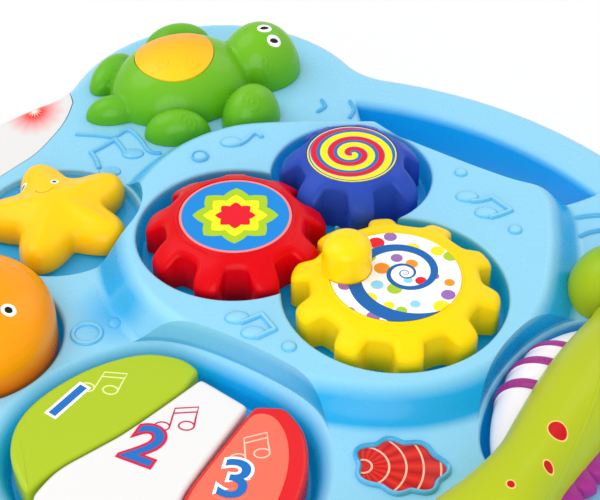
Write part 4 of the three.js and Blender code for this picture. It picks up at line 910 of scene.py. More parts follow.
# Stage
class TABLE_OT_stage(bpy.types.Operator):
    """Adds the floor, the studio light and the camera"""

    bl_idname = "table.stage"
    bl_label = "Stage"

    def execute(self, context):
        self.add_floor()
        self.add_lamp("key_light", (-1.15, -0.45, 1.9), 1.8, 17)
        self.add_lamp("back_light", (0.4, 1.5, 1.5), 1.4, 6)
        self.add_lamp("fill_light", (0.9, -1.5, 0.9), 1.6, 19)
        self.add_world(context)
        self.add_camera(context)
        context.scene.view_settings.view_transform = "Standard"
        return {"FINISHED"}

    def add_floor(self):
        floor = made("studio_floor", bpy.ops.mesh.primitive_plane_add, size=8)
        finish = Finish("studio_floor")
        shade = finish.mixed(finish.noise(3), srgb(0xF4F5F6), srgb(0xF9F9FA))
        finish.set(Base_Color=shade, Roughness=0.9, Specular_IOR_Level=0.1)
        glow = finish.add("ShaderNodeEmission", Color=(1, 1, 1), Strength=1).outputs[0]
        shadowless = finish.seen_by_camera() * 0.7
        blend = finish.add("ShaderNodeMixShader", None, shadowless, finish.shader.outputs[0], glow)
        finish.feed(finish.tree.nodes["Material Output"].inputs["Surface"], blend.outputs[0])
        floor.data.materials.append(finish.material)

    def add_lamp(self, name, place, width, power):
        aim = (Vector((0, 0, 0.25)) - Vector(place)).to_track_quat("-Z", "Y").to_euler()
        lamp = made(name, bpy.ops.object.light_add, type="AREA", location=place, rotation=aim)
        lamp.data.shape = "DISK"
        lamp.data.size = width
        lamp.data.energy = power

    def add_world(self, context):
        """White wherever the camera looks, and a soft light for the rest."""
        world = bpy.data.worlds.new("studio")
        context.scene.world = world
        world.use_nodes = True
        nodes = Nodes(world.node_tree)
        light = world.node_tree.nodes["Background"]
        nodes.feed(light.inputs["Color"], (1, 1, 1))
        nodes.feed(light.inputs["Strength"], 0.7)
        white = nodes.add("ShaderNodeBackground", Color=(1, 1, 1), Strength=1).outputs[0]
        blend = nodes.add("ShaderNodeMixShader", None, nodes.seen_by_camera(), light.outputs[0], white)
        nodes.feed(world.node_tree.nodes["World Output"].inputs["Surface"], blend.outputs[0])

    def add_camera(self, context):
        """The photo's view of the table."""
        down, round_right = 41.16, 33
        turn = (math.radians(90 - down), 0, math.radians(round_right))
        place = (0.2577, -0.3883, 0.7143)
        camera = made("photo_camera", bpy.ops.object.camera_add, location=place, rotation=turn)
        camera.data.sensor_width = 36
        camera.data.lens = 96
        context.scene.camera = camera


# Housing
def well_profile(radius, floor, top, lip, above):
    """A round recess: a small corner at its floor, a faint draft, and a rounded lip."""
    corner = 1.8
    foot = radius - 0.6 - corner
    profile = [(foot + out, floor + up) for out, up in quarter(corner, 5, rising=False)]
    profile += [(radius + out, top - lip + up) for out, up in quarter(lip, 7)[:-1]]
    return profile + [(radius + lip + 0.05, top + 0.01), (radius + lip + 0.1, top + above)]


def housing_body():
    top, edge = size("table_height"), size("edge_round")
    profile = [(0, SPLIT_LEVEL)] + [(-out, top - edge + up) for out, up in quarter(edge, 10)]
    return loft("housing_top", housing_ring, profile)


class TABLE_OT_housing(bpy.types.Operator):
    """Models the blue top of the housing with its wells, pits and moulded relief"""

    bl_idname = "table.housing"
    bl_label = "Housing top"

    def execute(self, context):
        top = size("table_height")
        shell = housing_body()
        combine(shell, self.plateau(top), "UNION")
        for cutter in self.cutters(top):
            combine(shell, cutter)
        self.open_below(shell)
        smoothed(shell, 32, weighted=True)
        join(shell, [smoothed(ridge, 50) for ridge in self.relief(top)])
        finish_piece(shell, "housing", shell_finish(), "top_shell", slot="shell_blue")
        return {"FINISHED"}

    def plateau(self, top):
        run = PLATEAU_FOOT + PLATEAU_SHOULDER
        profile = [(PLATEAU_FOOT + 0.6, top - 8), (PLATEAU_FOOT + 0.5, top - 0.12)]
        for share in [i / 18 for i in range(1, 19)]:
            height = size("plateau_rise") * (1 - math.cos(math.pi * share)) / 2
            profile.append((PLATEAU_FOOT - run * share, top + height))
        return loft("plateau", plateau_ring, profile)

    def cutters(self, top):
        high = plateau_level()
        cutters = []
        for gear in place_gears().values():
            profile = well_profile(gear["well"], high - WELL_DEPTH, high, 1.6, 6)
            cutters.append(turned("gear_well", gear["place"], profile, 144))
        profile = well_profile(STAR_TIP + STAR_RECESS_GAP, top - STAR_RECESS_DEPTH, top, 1.4, 14)
        cutters.append(turned("star_recess", STAR_PLACE, profile, 120))
        profile = well_profile(FISH_RADIUS + FISH_WELL_GAP, top - FISH_WELL_DEPTH, top, 2, 14)
        cutters.append(turned("fish_well", FISH_PLACE, profile, 120))
        lip = 4.5
        profile = [(0, SPLIT_LEVEL - 4)] + [(out, top - lip + up) for out, up in quarter(lip, 8)[:-1]]
        cutters.append(loft("slot", slot_ring, profile + [(lip, top + 0.02), (lip + 0.1, top + 16)]))
        cutters += [self.key_pit(top), self.bowl(top)]
        cutters.append(loft("lamp_pocket", lamp_ring, [(0, top - LAMP_DEPTH), (0, top + 6)]))
        return cutters

    def key_pit(self, top):
        """A pit round all three keys, with a broad slope down from the surface."""
        floor = top - KEY_PIT_DEPTH
        profile = [
            (0.4, floor), (1.0, floor + 0.3), (1.5, floor + 1), (2.2, top - 8), (3.0, top - 6),
            (4.2, top - 4.2), (5.6, top - 2.7), (7.0, top - 1.5), (8.2, top - 0.6), (9.2, top - 0.1),
            (9.8, top + 0.01), (10.0, top + 4), (10.3, top + 9), (10.8, top + 14),
        ]
        return loft("key_pit", keys_ring, profile)

    def bowl(self, top):
        """The lower half of an ellipsoid, with a lip, that the roller turns in."""
        x, y, level = ROLLER_PLACE
        half_x, half_y, half_z = BOWL_HALF_SIZE
        lip = 1.8
        turns = [QUARTER * i / 24 for i in range(1, 25)]
        rings = [(half_x * math.sin(t), half_y * math.sin(t), level - half_z * math.cos(t)) for t in turns]
        steps = [(out, up - lip) for out, up in quarter(lip, 6)[:-1]]
        steps += [(lip, 0.01), (lip + 0.6, 4), (lip + 1.2, 16)]
        rings += [(half_x + out, half_y + out, top + up) for out, up in steps]
        round_turns = [TURN * k / 120 for k in range(120)]
        return wrap("bowl", [
            [Vector((x + wide * math.cos(t), y + BOWL_SHIFT + long * math.sin(t), z)) for t in round_turns]
            for wide, long, z in rings
        ])

    def open_below(self, shell):
        """Takes away the flat underside."""
        only(shell)
        lowest = SPLIT_LEVEL * MM
        for face in shell.data.polygons:
            face.select = abs(face.center.z - lowest) < 1e-5 and abs(face.normal.z) > 0.99
        for part in (*shell.data.vertices, *shell.data.edges):
            part.select = False
        bpy.ops.object.mode_set(mode="EDIT")
        bpy.ops.mesh.select_mode(type="FACE")
        bpy.ops.mesh.delete(type="FACE")
        bpy.ops.object.mode_set(mode="OBJECT")

    def relief(self, low):
        """Moulded notes, bubbles and waves, raised a little from the surface."""
        high, rise = plateau_level(), size("relief")
        pieces = []

        def line(points, level, half_width):
            pieces.append(bead("ridge", smooth_line(points, 5), level, half_width, rise))

        def ring(place, radius, level, half_width):
            loop = circle(place, radius, 40)
            pieces.append(bead("ridge", [*loop, loop[0]], level, half_width, rise * 0.8))

        def bubble(place, radius, level):
            pieces.append(egg("bubble", place, (radius, radius, rise), level, 0, (32, 12)))

        def note(level, heads, *strokes):
            """A quaver, or a pair: round heads, and strokes for the stems and the beam."""
            for place in heads:
                pieces.append(egg("note_head", place, (5.2, 3.9, rise), level, 35, (32, 12)))
            for stroke in strokes:
                line(stroke, level, 1.25)

        bubble((-91.8, 66.9), 3.4, high)
        ring((-91.8, 66.9), 3.6, high, 0.5)
        bubble((12.7, 120.9), 3, high)
        bubble((51.0, 99.0), 3.2, high)
        bubble((8.9, -13.2), 3.2, high)
        ring((-71.9, -41.0), 5.8, low, 1.1)
        bubble((-66.3, -29.6), 3, low)
        note(
            high, [(-17.7, -10.7), (-7.4, -14.4)],
            [(-14.4, -12.0), (-12.3, -7.9), (-10.3, -3.8)],
            [(-10.3, -3.8), (-6.0, -5.9), (-1.1, -8.2)],
            [(-1.1, -8.2), (-2.8, -12.0), (-4.5, -15.9)],
        )
        note(
            high, [(23.1, 107.4), (35.2, 102.3)],
            [(26.6, 105.6), (29.9, 108.6), (32.6, 112.8)],
            [(32.6, 112.8), (38.5, 110.9), (43.7, 109.4)],
            [(43.7, 109.4), (41.3, 104.6), (38.6, 100.5)],
        )
        note(
            high, [(-86.2, 83.4)],
            [(-82.1, 83.8), (-81.1, 88.0), (-81.4, 93.3)],
            [(-81.4, 93.3), (-79.9, 95.2), (-77.0, 94.3)],
        )
        note(
            low, [(-130.2, 48.5), (-129.5, 65.0)],
            [(-136.3, 48.1), (-141.2, 52.1), (-146.4, 55.0)],
            [(-146.4, 55.0), (-144.6, 61.6), (-143.2, 69.0)],
            [(-143.2, 69.0), (-137.5, 66.2), (-131.8, 62.7)],
        )
        line([(-160.7, 62.3), (-153.1, 66.3), (-145.0, 69.7)], low, 1)
        line([(-144.0, 72.2), (-142.0, 78.2), (-132.5, 75.0), (-124.2, 70.3), (-119.0, 71.9)], low, 1)
        line([(61.9, 128.3), (63.8, 134.5), (70.4, 141.2), (76, 144)], low, 1.1)
        line([(71.0, 124.5), (73.5, 129.4), (80, 136), (86, 138)], low, 1.1)
        line([(-78.2, 148.5), (-74.3, 145.1), (-74.9, 139.9)], low, 1)
        line([(-66.3, 155.2), (-61.3, 150.7), (-59.5, 144.1)], low, 1)
        plate = plate_ring(1.2)
        pieces.append(bead("plate_ridge", [*plate, plate[0]], low, 1.0, rise * 1.2))
        return pieces


class TABLE_OT_cover(bpy.types.Operator):
    """Models the bottom of the housing, the battery door, the legs and their feet"""

    bl_idname = "table.cover"
    bl_label = "Bottom, legs and feet"

    def execute(self, context):
        self.leg_places = {
            name: around(CENTER, LEG_REACH, TURN * eighth / 8) for name, eighth in CORNERS.items()
        }
        self.bottom()
        self.door()
        self.legs()
        return {"FINISHED"}

    def bottom(self):
        edge, low = size("edge_round"), HOUSING_BOTTOM
        profile = [(min(0, out - edge), low + up) for out, up in quarter(edge, 8, rising=False)]
        profile.append((0, COVER_TOP))
        cover = loft("housing_bottom", housing_ring, profile)
        inside = [(offset - WALL, z + WALL) for offset, z in profile[:-1]] + [(-WALL, COVER_TOP + 2)]
        combine(cover, loft("inside", housing_ring, inside))
        combine(cover, loft("sleeve", slot_ring, [(WALL, low + 1), (WALL, COVER_TOP)]), "UNION")
        lip = 3
        through = [(lip, low - 1), (lip - 0.05, low + 0.01)]
        through += [(lip - out, low + up) for out, up in quarter(lip, 5, rising=False)[1:]]
        combine(cover, loft("through", slot_ring, through + [(0, COVER_TOP + 1)]))
        for place in self.leg_places.values():
            self.add_post(cover, place, 17.8, low + 24, [(16.3, -1), (15.3, 0.8), (15.3, 26)], 64)
        self.cut_grille(cover)
        for i in range(1, 9):
            near, far = box_of(f"housing_screw_{i}")
            place = [(near[k] + far[k]) / 2 for k in range(2)]
            self.add_post(cover, place, 4.7, COVER_TOP, [(4.6, -1), (3.7, 0.9), (3.7, 12)], 32)
        near, far = box_of("battery_door")
        gap = 0.3
        self.cut_box(cover, near[0] - gap, far[0] + gap, near[1] - gap, far[1] + gap, far[2] + gap)
        near, far = box_of("power_switch")
        x, y = near[0] + 10, (near[1] + far[1]) / 2
        self.cut_box(cover, x - 3.8, x + 9.8, y - 2.8, y + 2.8, low + 8)
        smoothed(cover, 32, weighted=True)
        finish = plain_plastic("cover_plastic", tint("cover"), rough=0.42, grain=0.12)
        finish_piece(cover, "housing", finish, "bottom_cover", slot="cover_blue")

    def add_post(self, cover, place, radius, top, hole, sides):
        """A round post for a leg or a screw, with a hole up into it."""
        low = HOUSING_BOTTOM
        combine(cover, turned("post", place, [(radius, low + 1), (radius, top)], sides), "UNION")
        combine(cover, turned("hole", place, [(out, low + up) for out, up in hole], sides))

    def cut_grille(self, cover):
        """Seven slots in front of the speaker, which fill a circle."""
        half_width = 1.2
        for aside in range(-18, 19, 6):
            half = math.sqrt(21**2 - aside**2) - half_width
            slot = arc((-4.5 + aside, -86 + half), half_width, 0, math.pi, 8)
            slot += arc((-4.5 + aside, -86 - half), half_width, math.pi, TURN, 8)
            rings = [lift(slot, HOUSING_BOTTOM - 2), lift(slot, HOUSING_BOTTOM + 5)]
            combine(cover, wrap("grille_slot", rings))

    def cut_box(self, cover, left, right, near, far, top):
        """A pocket for the battery door, or the slot that the switch's knob slides in."""
        loop = [Vector(corner) for corner in ((left, near), (right, near), (right, far), (left, far))]
        combine(cover, wrap("pocket", [lift(loop, HOUSING_BOTTOM - 2), lift(loop, top)]))

    def door(self):
        low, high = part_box("battery_door")
        center = [(low[k] + high[k]) / 2 for k in range(3)]
        door = made("battery_door_finished", bpy.ops.mesh.primitive_cube_add, size=1, location=center)
        door.scale = [high[k] - low[k] for k in range(3)]
        apply_place()
        modify(door, "BEVEL", width=0.7 * MM, segments=3)
        grips = []
        for i in range(4):
            x, y = center[0] / MM, low[1] / MM + 7 + 2.4 * i
            path = [(x - 8 + i, y), (x, y + 0.4), (x + 8 - i, y)]
            grips.append(bead("grip", path, low[2] / MM + 0.5, 0.6, 0.5))
        join(door, grips)
        smoothed(door, 40)
        finish = plain_plastic("door_plastic", tint("cover"), rough=0.4, grain=0.12)
        finish_piece(door, "housing", finish, "battery_door", slot="cover_blue")

    def legs(self):
        leg_finish = plain_plastic("leg_plastic", tint("yellow"), rough=0.3)
        foot_finish = plain_plastic("foot_rubber", tint("blue"), rough=0.62, coat=0, grain=0.2)
        top = HOUSING_BOTTOM - 0.3
        # Radius and height of each step, up the outside and down the inside
        shaft = [(14.6, 4.6), (15.7, 4.9), (16, 6)]
        shaft += [(16 + 7 * share**0.85, 6 + (top - 16) * share) for share in (0.25, 0.5, 0.75, 1)]
        shaft += [(23, top - 2.5), (22.6, top - 1.2), (21.5, top - 0.2), (20.5, top), (15, top)]
        shaft += [(15, top + 22), (14.2, top + 24), (12.5, top + 24), (12.5, 8), (11, 7)]
        cup = [(17.2, 0), (18.9, 0.4), (19.7, 1.3), (20, 2.6)]
        for rib in range(3):
            z = 4 + rib * 2.8
            cup += [(20, z), (19.5, z + 0.5), (19.5, z + 1.1), (20, z + 1.6)]
        cup += [(20, 12.6), (19.7, 13.5), (18.8, 14), (17.6, 14), (17.5, 4), (15, 4)]
        for corner, place in self.leg_places.items():
            leg = smoothed(turned(f"{corner}_leg_finished", place, shaft, 72), 35)
            finish_piece(leg, "housing", leg_finish, f"{corner}_leg", slot="leg_yellow")
            foot = smoothed(turned(f"{corner}_foot_finished", place, cup, 72), 35)
            finish_piece(foot, "housing", foot_finish, f"{corner}_foot", slot="foot_rubber")


# Toothed discs and their knob
def crown_level(gear, radius):
    share = max(0, (radius - gear["flat"]) / (gear["tip"] - gear["flat"]))
    return plateau_level() + gear["rise"] - STICKER_THICKNESS - gear["drop"] * share**CROWN_POWER


def gear_piece(gear):
    """A toothed disc: straight sides, rounded upper edges and a crown up to its rim."""
    center = Vector(gear["place"])
    outline = gear_outline(gear)
    low = plateau_level() - WELL_DEPTH + 1
    edge = 2.6
    rings = [lift([p + center for p in grown(outline, -0.8)], low)]
    rings.append(lift([p + center for p in outline], low + 0.8))
    for out, up in quarter(edge, 5):
        inner = grown(outline, -out)
        levels = [crown_level(gear, q.length) - edge + up for q in inner]
        rings.append([Vector((q.x + center.x, q.y + center.y, z)) for q, z in zip(inner, levels)])
    flat = gear["flat"]
    for share in [1 - step / 7 for step in range(1, 8)]:
        ring = []
        for q in inner:
            radius = flat + (q.length - flat) * share
            at = q.normalized() * radius
            ring.append(Vector((at.x + center.x, at.y + center.y, crown_level(gear, radius))))
        rings.append(ring)
    high = crown_level(gear, 0)
    for radius, rise in ((flat - 0.35, 0.35), (flat - 0.75, 0.5), (flat - 1.05, 0.35), (flat - 1.2, 0)):
        rings.append([Vector((*(q.normalized() * radius + center), high + rise)) for q in inner])
    return smoothed(wrap(f"{gear['name']}_toothed_disc", rings), 38, weighted=True)


def star_print(gear):
    """A nested eight-pointed star on blue, with a pale pink ring round its edge as a painted highlight."""
    finish = Finish("star_print")
    x, y, _ = finish.axes((*gear["place"], 0))
    distance, bearing = finish.polar(x, y)
    share = distance / gear["sticker"]
    wave = ((bearing - 0.092) * 8).zigzag()
    stars = [
        (share < wave * notch + (tip - notch), code)
        for tip, notch, code in ((0.76, 0.17, 0xA8CC1E), (0.57, 0.14, 0xF8EE1C), (0.36, 0.09, 0xE40A26))
    ]
    # The pale pink ring at the edge is a painted highlight
    return sticker_print(finish, finish.printed(srgb(0x0E86D8), *stars, (share > 0.955, 0xF48A8A)))


def spiral_print(gear):
    """Yellow, red and blue bands that wind round the middle."""
    finish = Finish("spiral_print")
    x, y, _ = finish.axes((*gear["place"], 0))
    distance, bearing = finish.polar(x, y)
    share = distance / gear["sticker"]
    yellow, red, blue = 0xFDE614, 0xE60A26, 0x1670C0
    bands = [(0, srgb(yellow)), (0.42, srgb(blue)), (0.64, srgb(red)), (0.95, srgb(blue))]
    shade = finish.stepped((bearing + share * 2.6).math("FRACT"), bands)
    return sticker_print(finish, finish.printed(shade, (share > 0.94, blue), (share > 0.97, yellow)))


def dot_print(gear):
    """Scattered dots of many colours on white, with a blue spiral that widens outwards."""
    finish = Finish("dot_print")
    x, y, _ = finish.axes((*gear["place"], 0))
    cells = {"Vector": finish.object_place, "Scale": 108, "Randomness": 0.7}
    flat = {"voronoi_dimensions": "2D"}
    dots = finish.add("ShaderNodeTexVoronoi", flat, **cells).outputs
    clear = finish.add("ShaderNodeTexVoronoi", {**flat, "feature": "N_SPHERE_RADIUS"}, **cells).outputs
    cell = finish.add("ShaderNodeSeparateColor", Color=dots["Color"])
    pick, spread = finish.value(cell.outputs[0]), finish.value(cell.outputs[1])
    palette = [0xE31B2E, 0xF7941E, 0xA9CB2B, 0x9A6BB5, 0x8FD4F2, 0xF9E21D]
    shade = finish.stepped(pick, [(i / len(palette), srgb(code)) for i, code in enumerate(palette)])
    spot = finish.value(dots["Distance"]) < finish.value(clear["Radius"]) * (spread * 0.45 + 0.6)
    shade = finish.mixed(spot, srgb(0xFBFBFB), shade)
    distance, bearing = finish.polar(x - 2.5, y - 3.5)
    wound = distance.math("MAXIMUM", 0.3).math("LOGARITHM", math.e) * 0.9 - bearing
    return sticker_print(finish, finish.printed(shade, (wound.math("FRACT") < 0.24, 0x1562AE)))


PRINTS = {
    "yellow": (dot_print, "dot_print"),
    "red": (star_print, "star_print"),
    "blue": (spiral_print, "spiral_print"),
}


class TABLE_OT_discs(bpy.types.Operator):
    """Models the three toothed discs, their stickers and the crank knob"""

    bl_idname = "table.discs"
    bl_label = "Toothed discs"

    def execute(self, context):
        for name, gear in place_gears().items():
            finish = plain_plastic(f"disc_{name}", tint(name), coat=0.03, specular=0.08)
            finish_piece(gear_piece(gear), f"{name}_disc", finish, f"{name}_gear", slot=f"gear_{name}")
            self.sticker(name, gear)
        self.knob()
        return {"FINISHED"}

    def sticker(self, name, gear):
        high, radius = crown_level(gear, 0), gear["sticker"]
        profile = [(radius, high + 0.1), (radius, high + 0.3), (radius - 0.15, high + 0.4), (0, high + 0.4)]
        piece = turned(f"{name}_disc_print", gear["place"], profile, 120)
        if name == "yellow":
            notch = size("knob_radius") + 0.3
            combine(piece, turned("notch", KNOB_PLACE, [(notch, high - 2), (notch, high + 2)], 64))
        smoothed(piece, 30)
        paint, slot = PRINTS[name]
        finish_piece(piece, f"{name}_disc", paint(gear), f"{name}_gear_sticker", slot=slot)

    def knob(self):
        base, top = (corner[2] for corner in box_of("crank_knob"))
        radius, dome = size("knob_radius"), 6
        profile = [(radius - 0.8, base), (radius - 0.15, base + 0.25), (radius, base + 1)]
        for turn in [QUARTER * i / 10 for i in range(11)]:
            profile.append(((radius - 0.2) * math.cos(turn) ** 0.85, top - dome + dome * math.sin(turn)))
        piece = smoothed(turned("knob_finished", KNOB_PLACE, profile, 80), 40)
        finish = plain_plastic("knob_plastic", tint("yellow"))
        finish_piece(piece, "knob", finish, "crank_knob", slot="gear_yellow")


class TABLE_OT_keys(bpy.types.Operator):
    """Models the three music keys and prints their numbers and notes"""

    bl_idname = "table.keys"
    bl_label = "Music keys"

    def execute(self, context):
        top = size("table_height") + size("key_proud")
        keys = {
            "green": (GREEN_OUTER, GREEN_INNER),
            "white": (WHITE_LEFT, WHITE_END, WHITE_RIGHT),
            "red": (RED_INNER, RED_OUTER),
        }
        # Digit, its place and heading in degrees, the note's place, and the colours of both edges
        prints = {
            "green": ("1", (-52.4, -77.8), -3, (-46.4, -61.5), WHITE, 0xE9F0A0),
            "white": ("2", (-12.8, -79.5), 8, (-10.5, -61.5), 0xD81E48, 0xC21E4E),
            "red": ("3", (25.5, -75.0), 22, (21.5, -58.5), WHITE, 0xFBD0B8),
        }
        for name, sides in keys.items():
            outline = grown(key_outline(*sides), -KEY_GAP / 2)
            self.cap(name, outline, top)
            digit, place, heading, note_place, edge_code, note_code = prints[name]
            marks = [
                self.number(digit, place, heading, top, edge_code),
                self.note(note_place, heading + 20, top, note_code),
            ]
            if name == "red":
                marks.append(self.inset(outline, top))
            for i, mark in enumerate(marks):
                mark.name = f"{name}_key_mark_{i + 1}"
                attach(mark, f"{name}_music_key")
        return {"FINISHED"}

    def cap(self, name, outline, top):
        low, edge = top - KEY_HEIGHT, 2.2
        rings = [lift(grown(outline, -0.6), low), lift(outline, low + 0.6)]
        for out, up in quarter(edge, 7):
            rings.append(lift(softened(grown(outline, -out), round(4 * out)), top - edge + up))
        piece = smoothed(wrap(f"{name}_key_cap", rings), 35, weighted=True)
        finish = plain_plastic(f"key_{name}", tint(f"key_{name}"), rough=0.25, coat=0.15)
        finish_piece(piece, f"{name}_music_key", finish, f"{name}_key", slot=f"key_{name}")

    def inset(self, outline, top):
        """The soft red face of the third key."""
        panel = eased(outline, 1.2, 4)
        for _ in range(2):
            panel = eased(grown(panel, -2.3), 1.2, 5)
        panel = [p + Vector((-2.6, -1.0)) for p in panel]
        piece = wrap("inset", [lift(panel, top + 0.02), lift(panel, top + 0.1)])
        piece.data.materials.append(plain_plastic("inset_print", tint("key_inset"), rough=0.3))
        return piece

    def number(self, digit, place, heading, top, edge_code):
        """A plain number in blue with a coloured edge, as a thin print."""
        layers = []
        for offset, raise_by, code in ((0.057, 0.14, edge_code), (0.012, 0.2, 0x1D6FC0)):
            text = made("number", bpy.ops.object.text_add)
            text.data.body = digit
            text.data.size = 1
            text.data.offset = offset
            text.data.extrude = 0.002
            text.data.align_x = text.data.align_y = "CENTER"
            text.scale = (28 * MM, 26 * MM, 15 * MM)
            text.rotation_euler = (0, 0, math.radians(heading))
            text.location = (place[0] * MM, place[1] * MM, (top + raise_by) * MM)
            bpy.ops.object.convert(target="MESH")
            apply_place()
            layer = bpy.context.object
            layer.data.materials.clear()
            layer.data.materials.append(plain_plastic(f"number_{digit}_{code:x}", srgb(code), rough=0.35))
            layers.append(layer)
        return join(layers[0], layers[1:])

    def note(self, place, heading, top, code):
        """A pair of quavers drawn in one thin line."""
        turn, scale = math.radians(heading), 7.5
        ovals = [
            [(x + 0.4 * math.cos(TURN * i / 24), y + 0.3 * math.sin(TURN * i / 24)) for i in range(25)]
            for x, y in ((-0.75, -0.55), (0.5, -0.4))
        ]
        stems = [(-0.35, -0.5), (-0.3, 0.2), (-0.25, 0.75), (0.95, 0.95), (0.9, 0.2), (0.9, -0.35)]
        lines = []
        for shape in (*ovals, stems, [(-0.28, 0.4), (0.3, 0.5), (0.92, 0.6)]):
            path = [
                (
                    place[0] + scale * (x * math.cos(turn) - y * math.sin(turn)),
                    place[1] + scale * (x * math.sin(turn) + y * math.cos(turn)),
                )
                for x, y in shape
            ]
            lines.append(bead("note_line", path, top + 0.06, 0.34, 0.12))
        piece = join(lines[0], lines[1:])
        piece.data.materials.append(plain_plastic(f"note_{code:x}", srgb(code), rough=0.35))
        return piece


# Animals
class TABLE_OT_starfish(bpy.types.Operator):
    """Models the starfish that spins"""

    bl_idname = "table.starfish"
    bl_label = "Starfish"

    def execute(self, context):
        low = size("table_height") - STAR_RECESS_DEPTH + 1
        high = low + STAR_THICKNESS
        side, shoulder, edge = low + 5, high - 4, 6
        outline = star_outline(STAR_TIP)
        rings = [lift(star_outline(STAR_TIP * 0.96), low), lift(outline, low + 1.2), lift(outline, side)]
        for out, up in quarter(edge, 8)[1:]:
            inner = softened(grown(outline, -out), round(2.5 * out))
            rings.append(lift(inner, side + up * (shoulder - side) / edge))
        middle = Vector(STAR_PLACE)
        for share in (0.85, 0.7, 0.55, 0.4, 0.25, 0.12, 0.002):
            rings.append(lift([middle + (p - middle) * share for p in inner], high - 4 * share**1.8))
        piece = smoothed(wrap("starfish_finished", rings), 60)
        finish_piece(piece, "star", self.finish(), "starfish", slot="starfish_yellow")
        return {"FINISHED"}

    def finish(self):
        """Yellow, with painted shade that turns it orange low down, two small eyes and a thin smile."""
        finish = Finish("starfish_plastic")
        x, y, z = finish.axes()
        # Painted shade: orange low down, yellow towards the top
        rise = ((z - size("table_height")) / 11).clamped()
        base = finish.mixed(rise, srgb(0xFFB400), tint("starfish"))
        for eye in ((-149.4, 11.3), (-136.0, 17.7)):
            across, along = x - eye[0], y - eye[1]
            across, along = across * across, along * along
            white = across + along * 0.6 < 2.6
            base = finish.printed(base, (white, WHITE), (across * 1.4 + along * 0.8 < 0.9, INK))
        across, along = x + 136.9, y - 12.2
        smile = (abs(hypot(across, along) - 4.2) < 0.3) * (across * 0.55 - along * 0.83 > 1.2)
        return finish.plastic(finish.printed(base, (smile, 0xC9A400)), rough=0.3)


class TABLE_OT_fish(bpy.types.Operator):
    """Models the orange fish dome that is pressed"""

    bl_idname = "table.fish"
    bl_label = "Fish"

    def execute(self, context):
        top = size("table_height")
        low, shoulder = top - FISH_WELL_DEPTH + FISH_TRAVEL + SEAT_GAP, top + 8
        profile = [(FISH_RADIUS - 1.2, low), (FISH_RADIUS, low + 1.2), (FISH_RADIUS, shoulder - 4)]
        for turn in [QUARTER * i / 16 for i in range(17)]:
            level = shoulder + (top + FISH_RISE - shoulder) * math.sin(turn)
            profile.append((FISH_RADIUS * math.cos(turn) ** 0.7, level))
        piece = smoothed(turned("fish_finished", FISH_PLACE, profile, 120), 40)
        finish_piece(piece, "fish", self.finish(), "fish_button", slot="fish_orange")
        return {"FINISHED"}

    def finish(self):
        """Orange, with painted shade that deepens it low down, and a round eye on each side."""
        finish = Finish("fish_plastic")
        x, y, z = finish.axes()
        # Painted shade: a deeper orange low down
        base = finish.mixed(((size("table_height") + 9 - z) / 9).clamped(), tint("fish"), srgb(0xE27408))
        for eye in ((-88.9, -65.6), (-118, -92)):
            distance = hypot(x - eye[0], y - eye[1])
            base = finish.printed(base, (distance < 3, WHITE), (distance < 1.549, INK))
        return finish.plastic(base, rough=0.3)


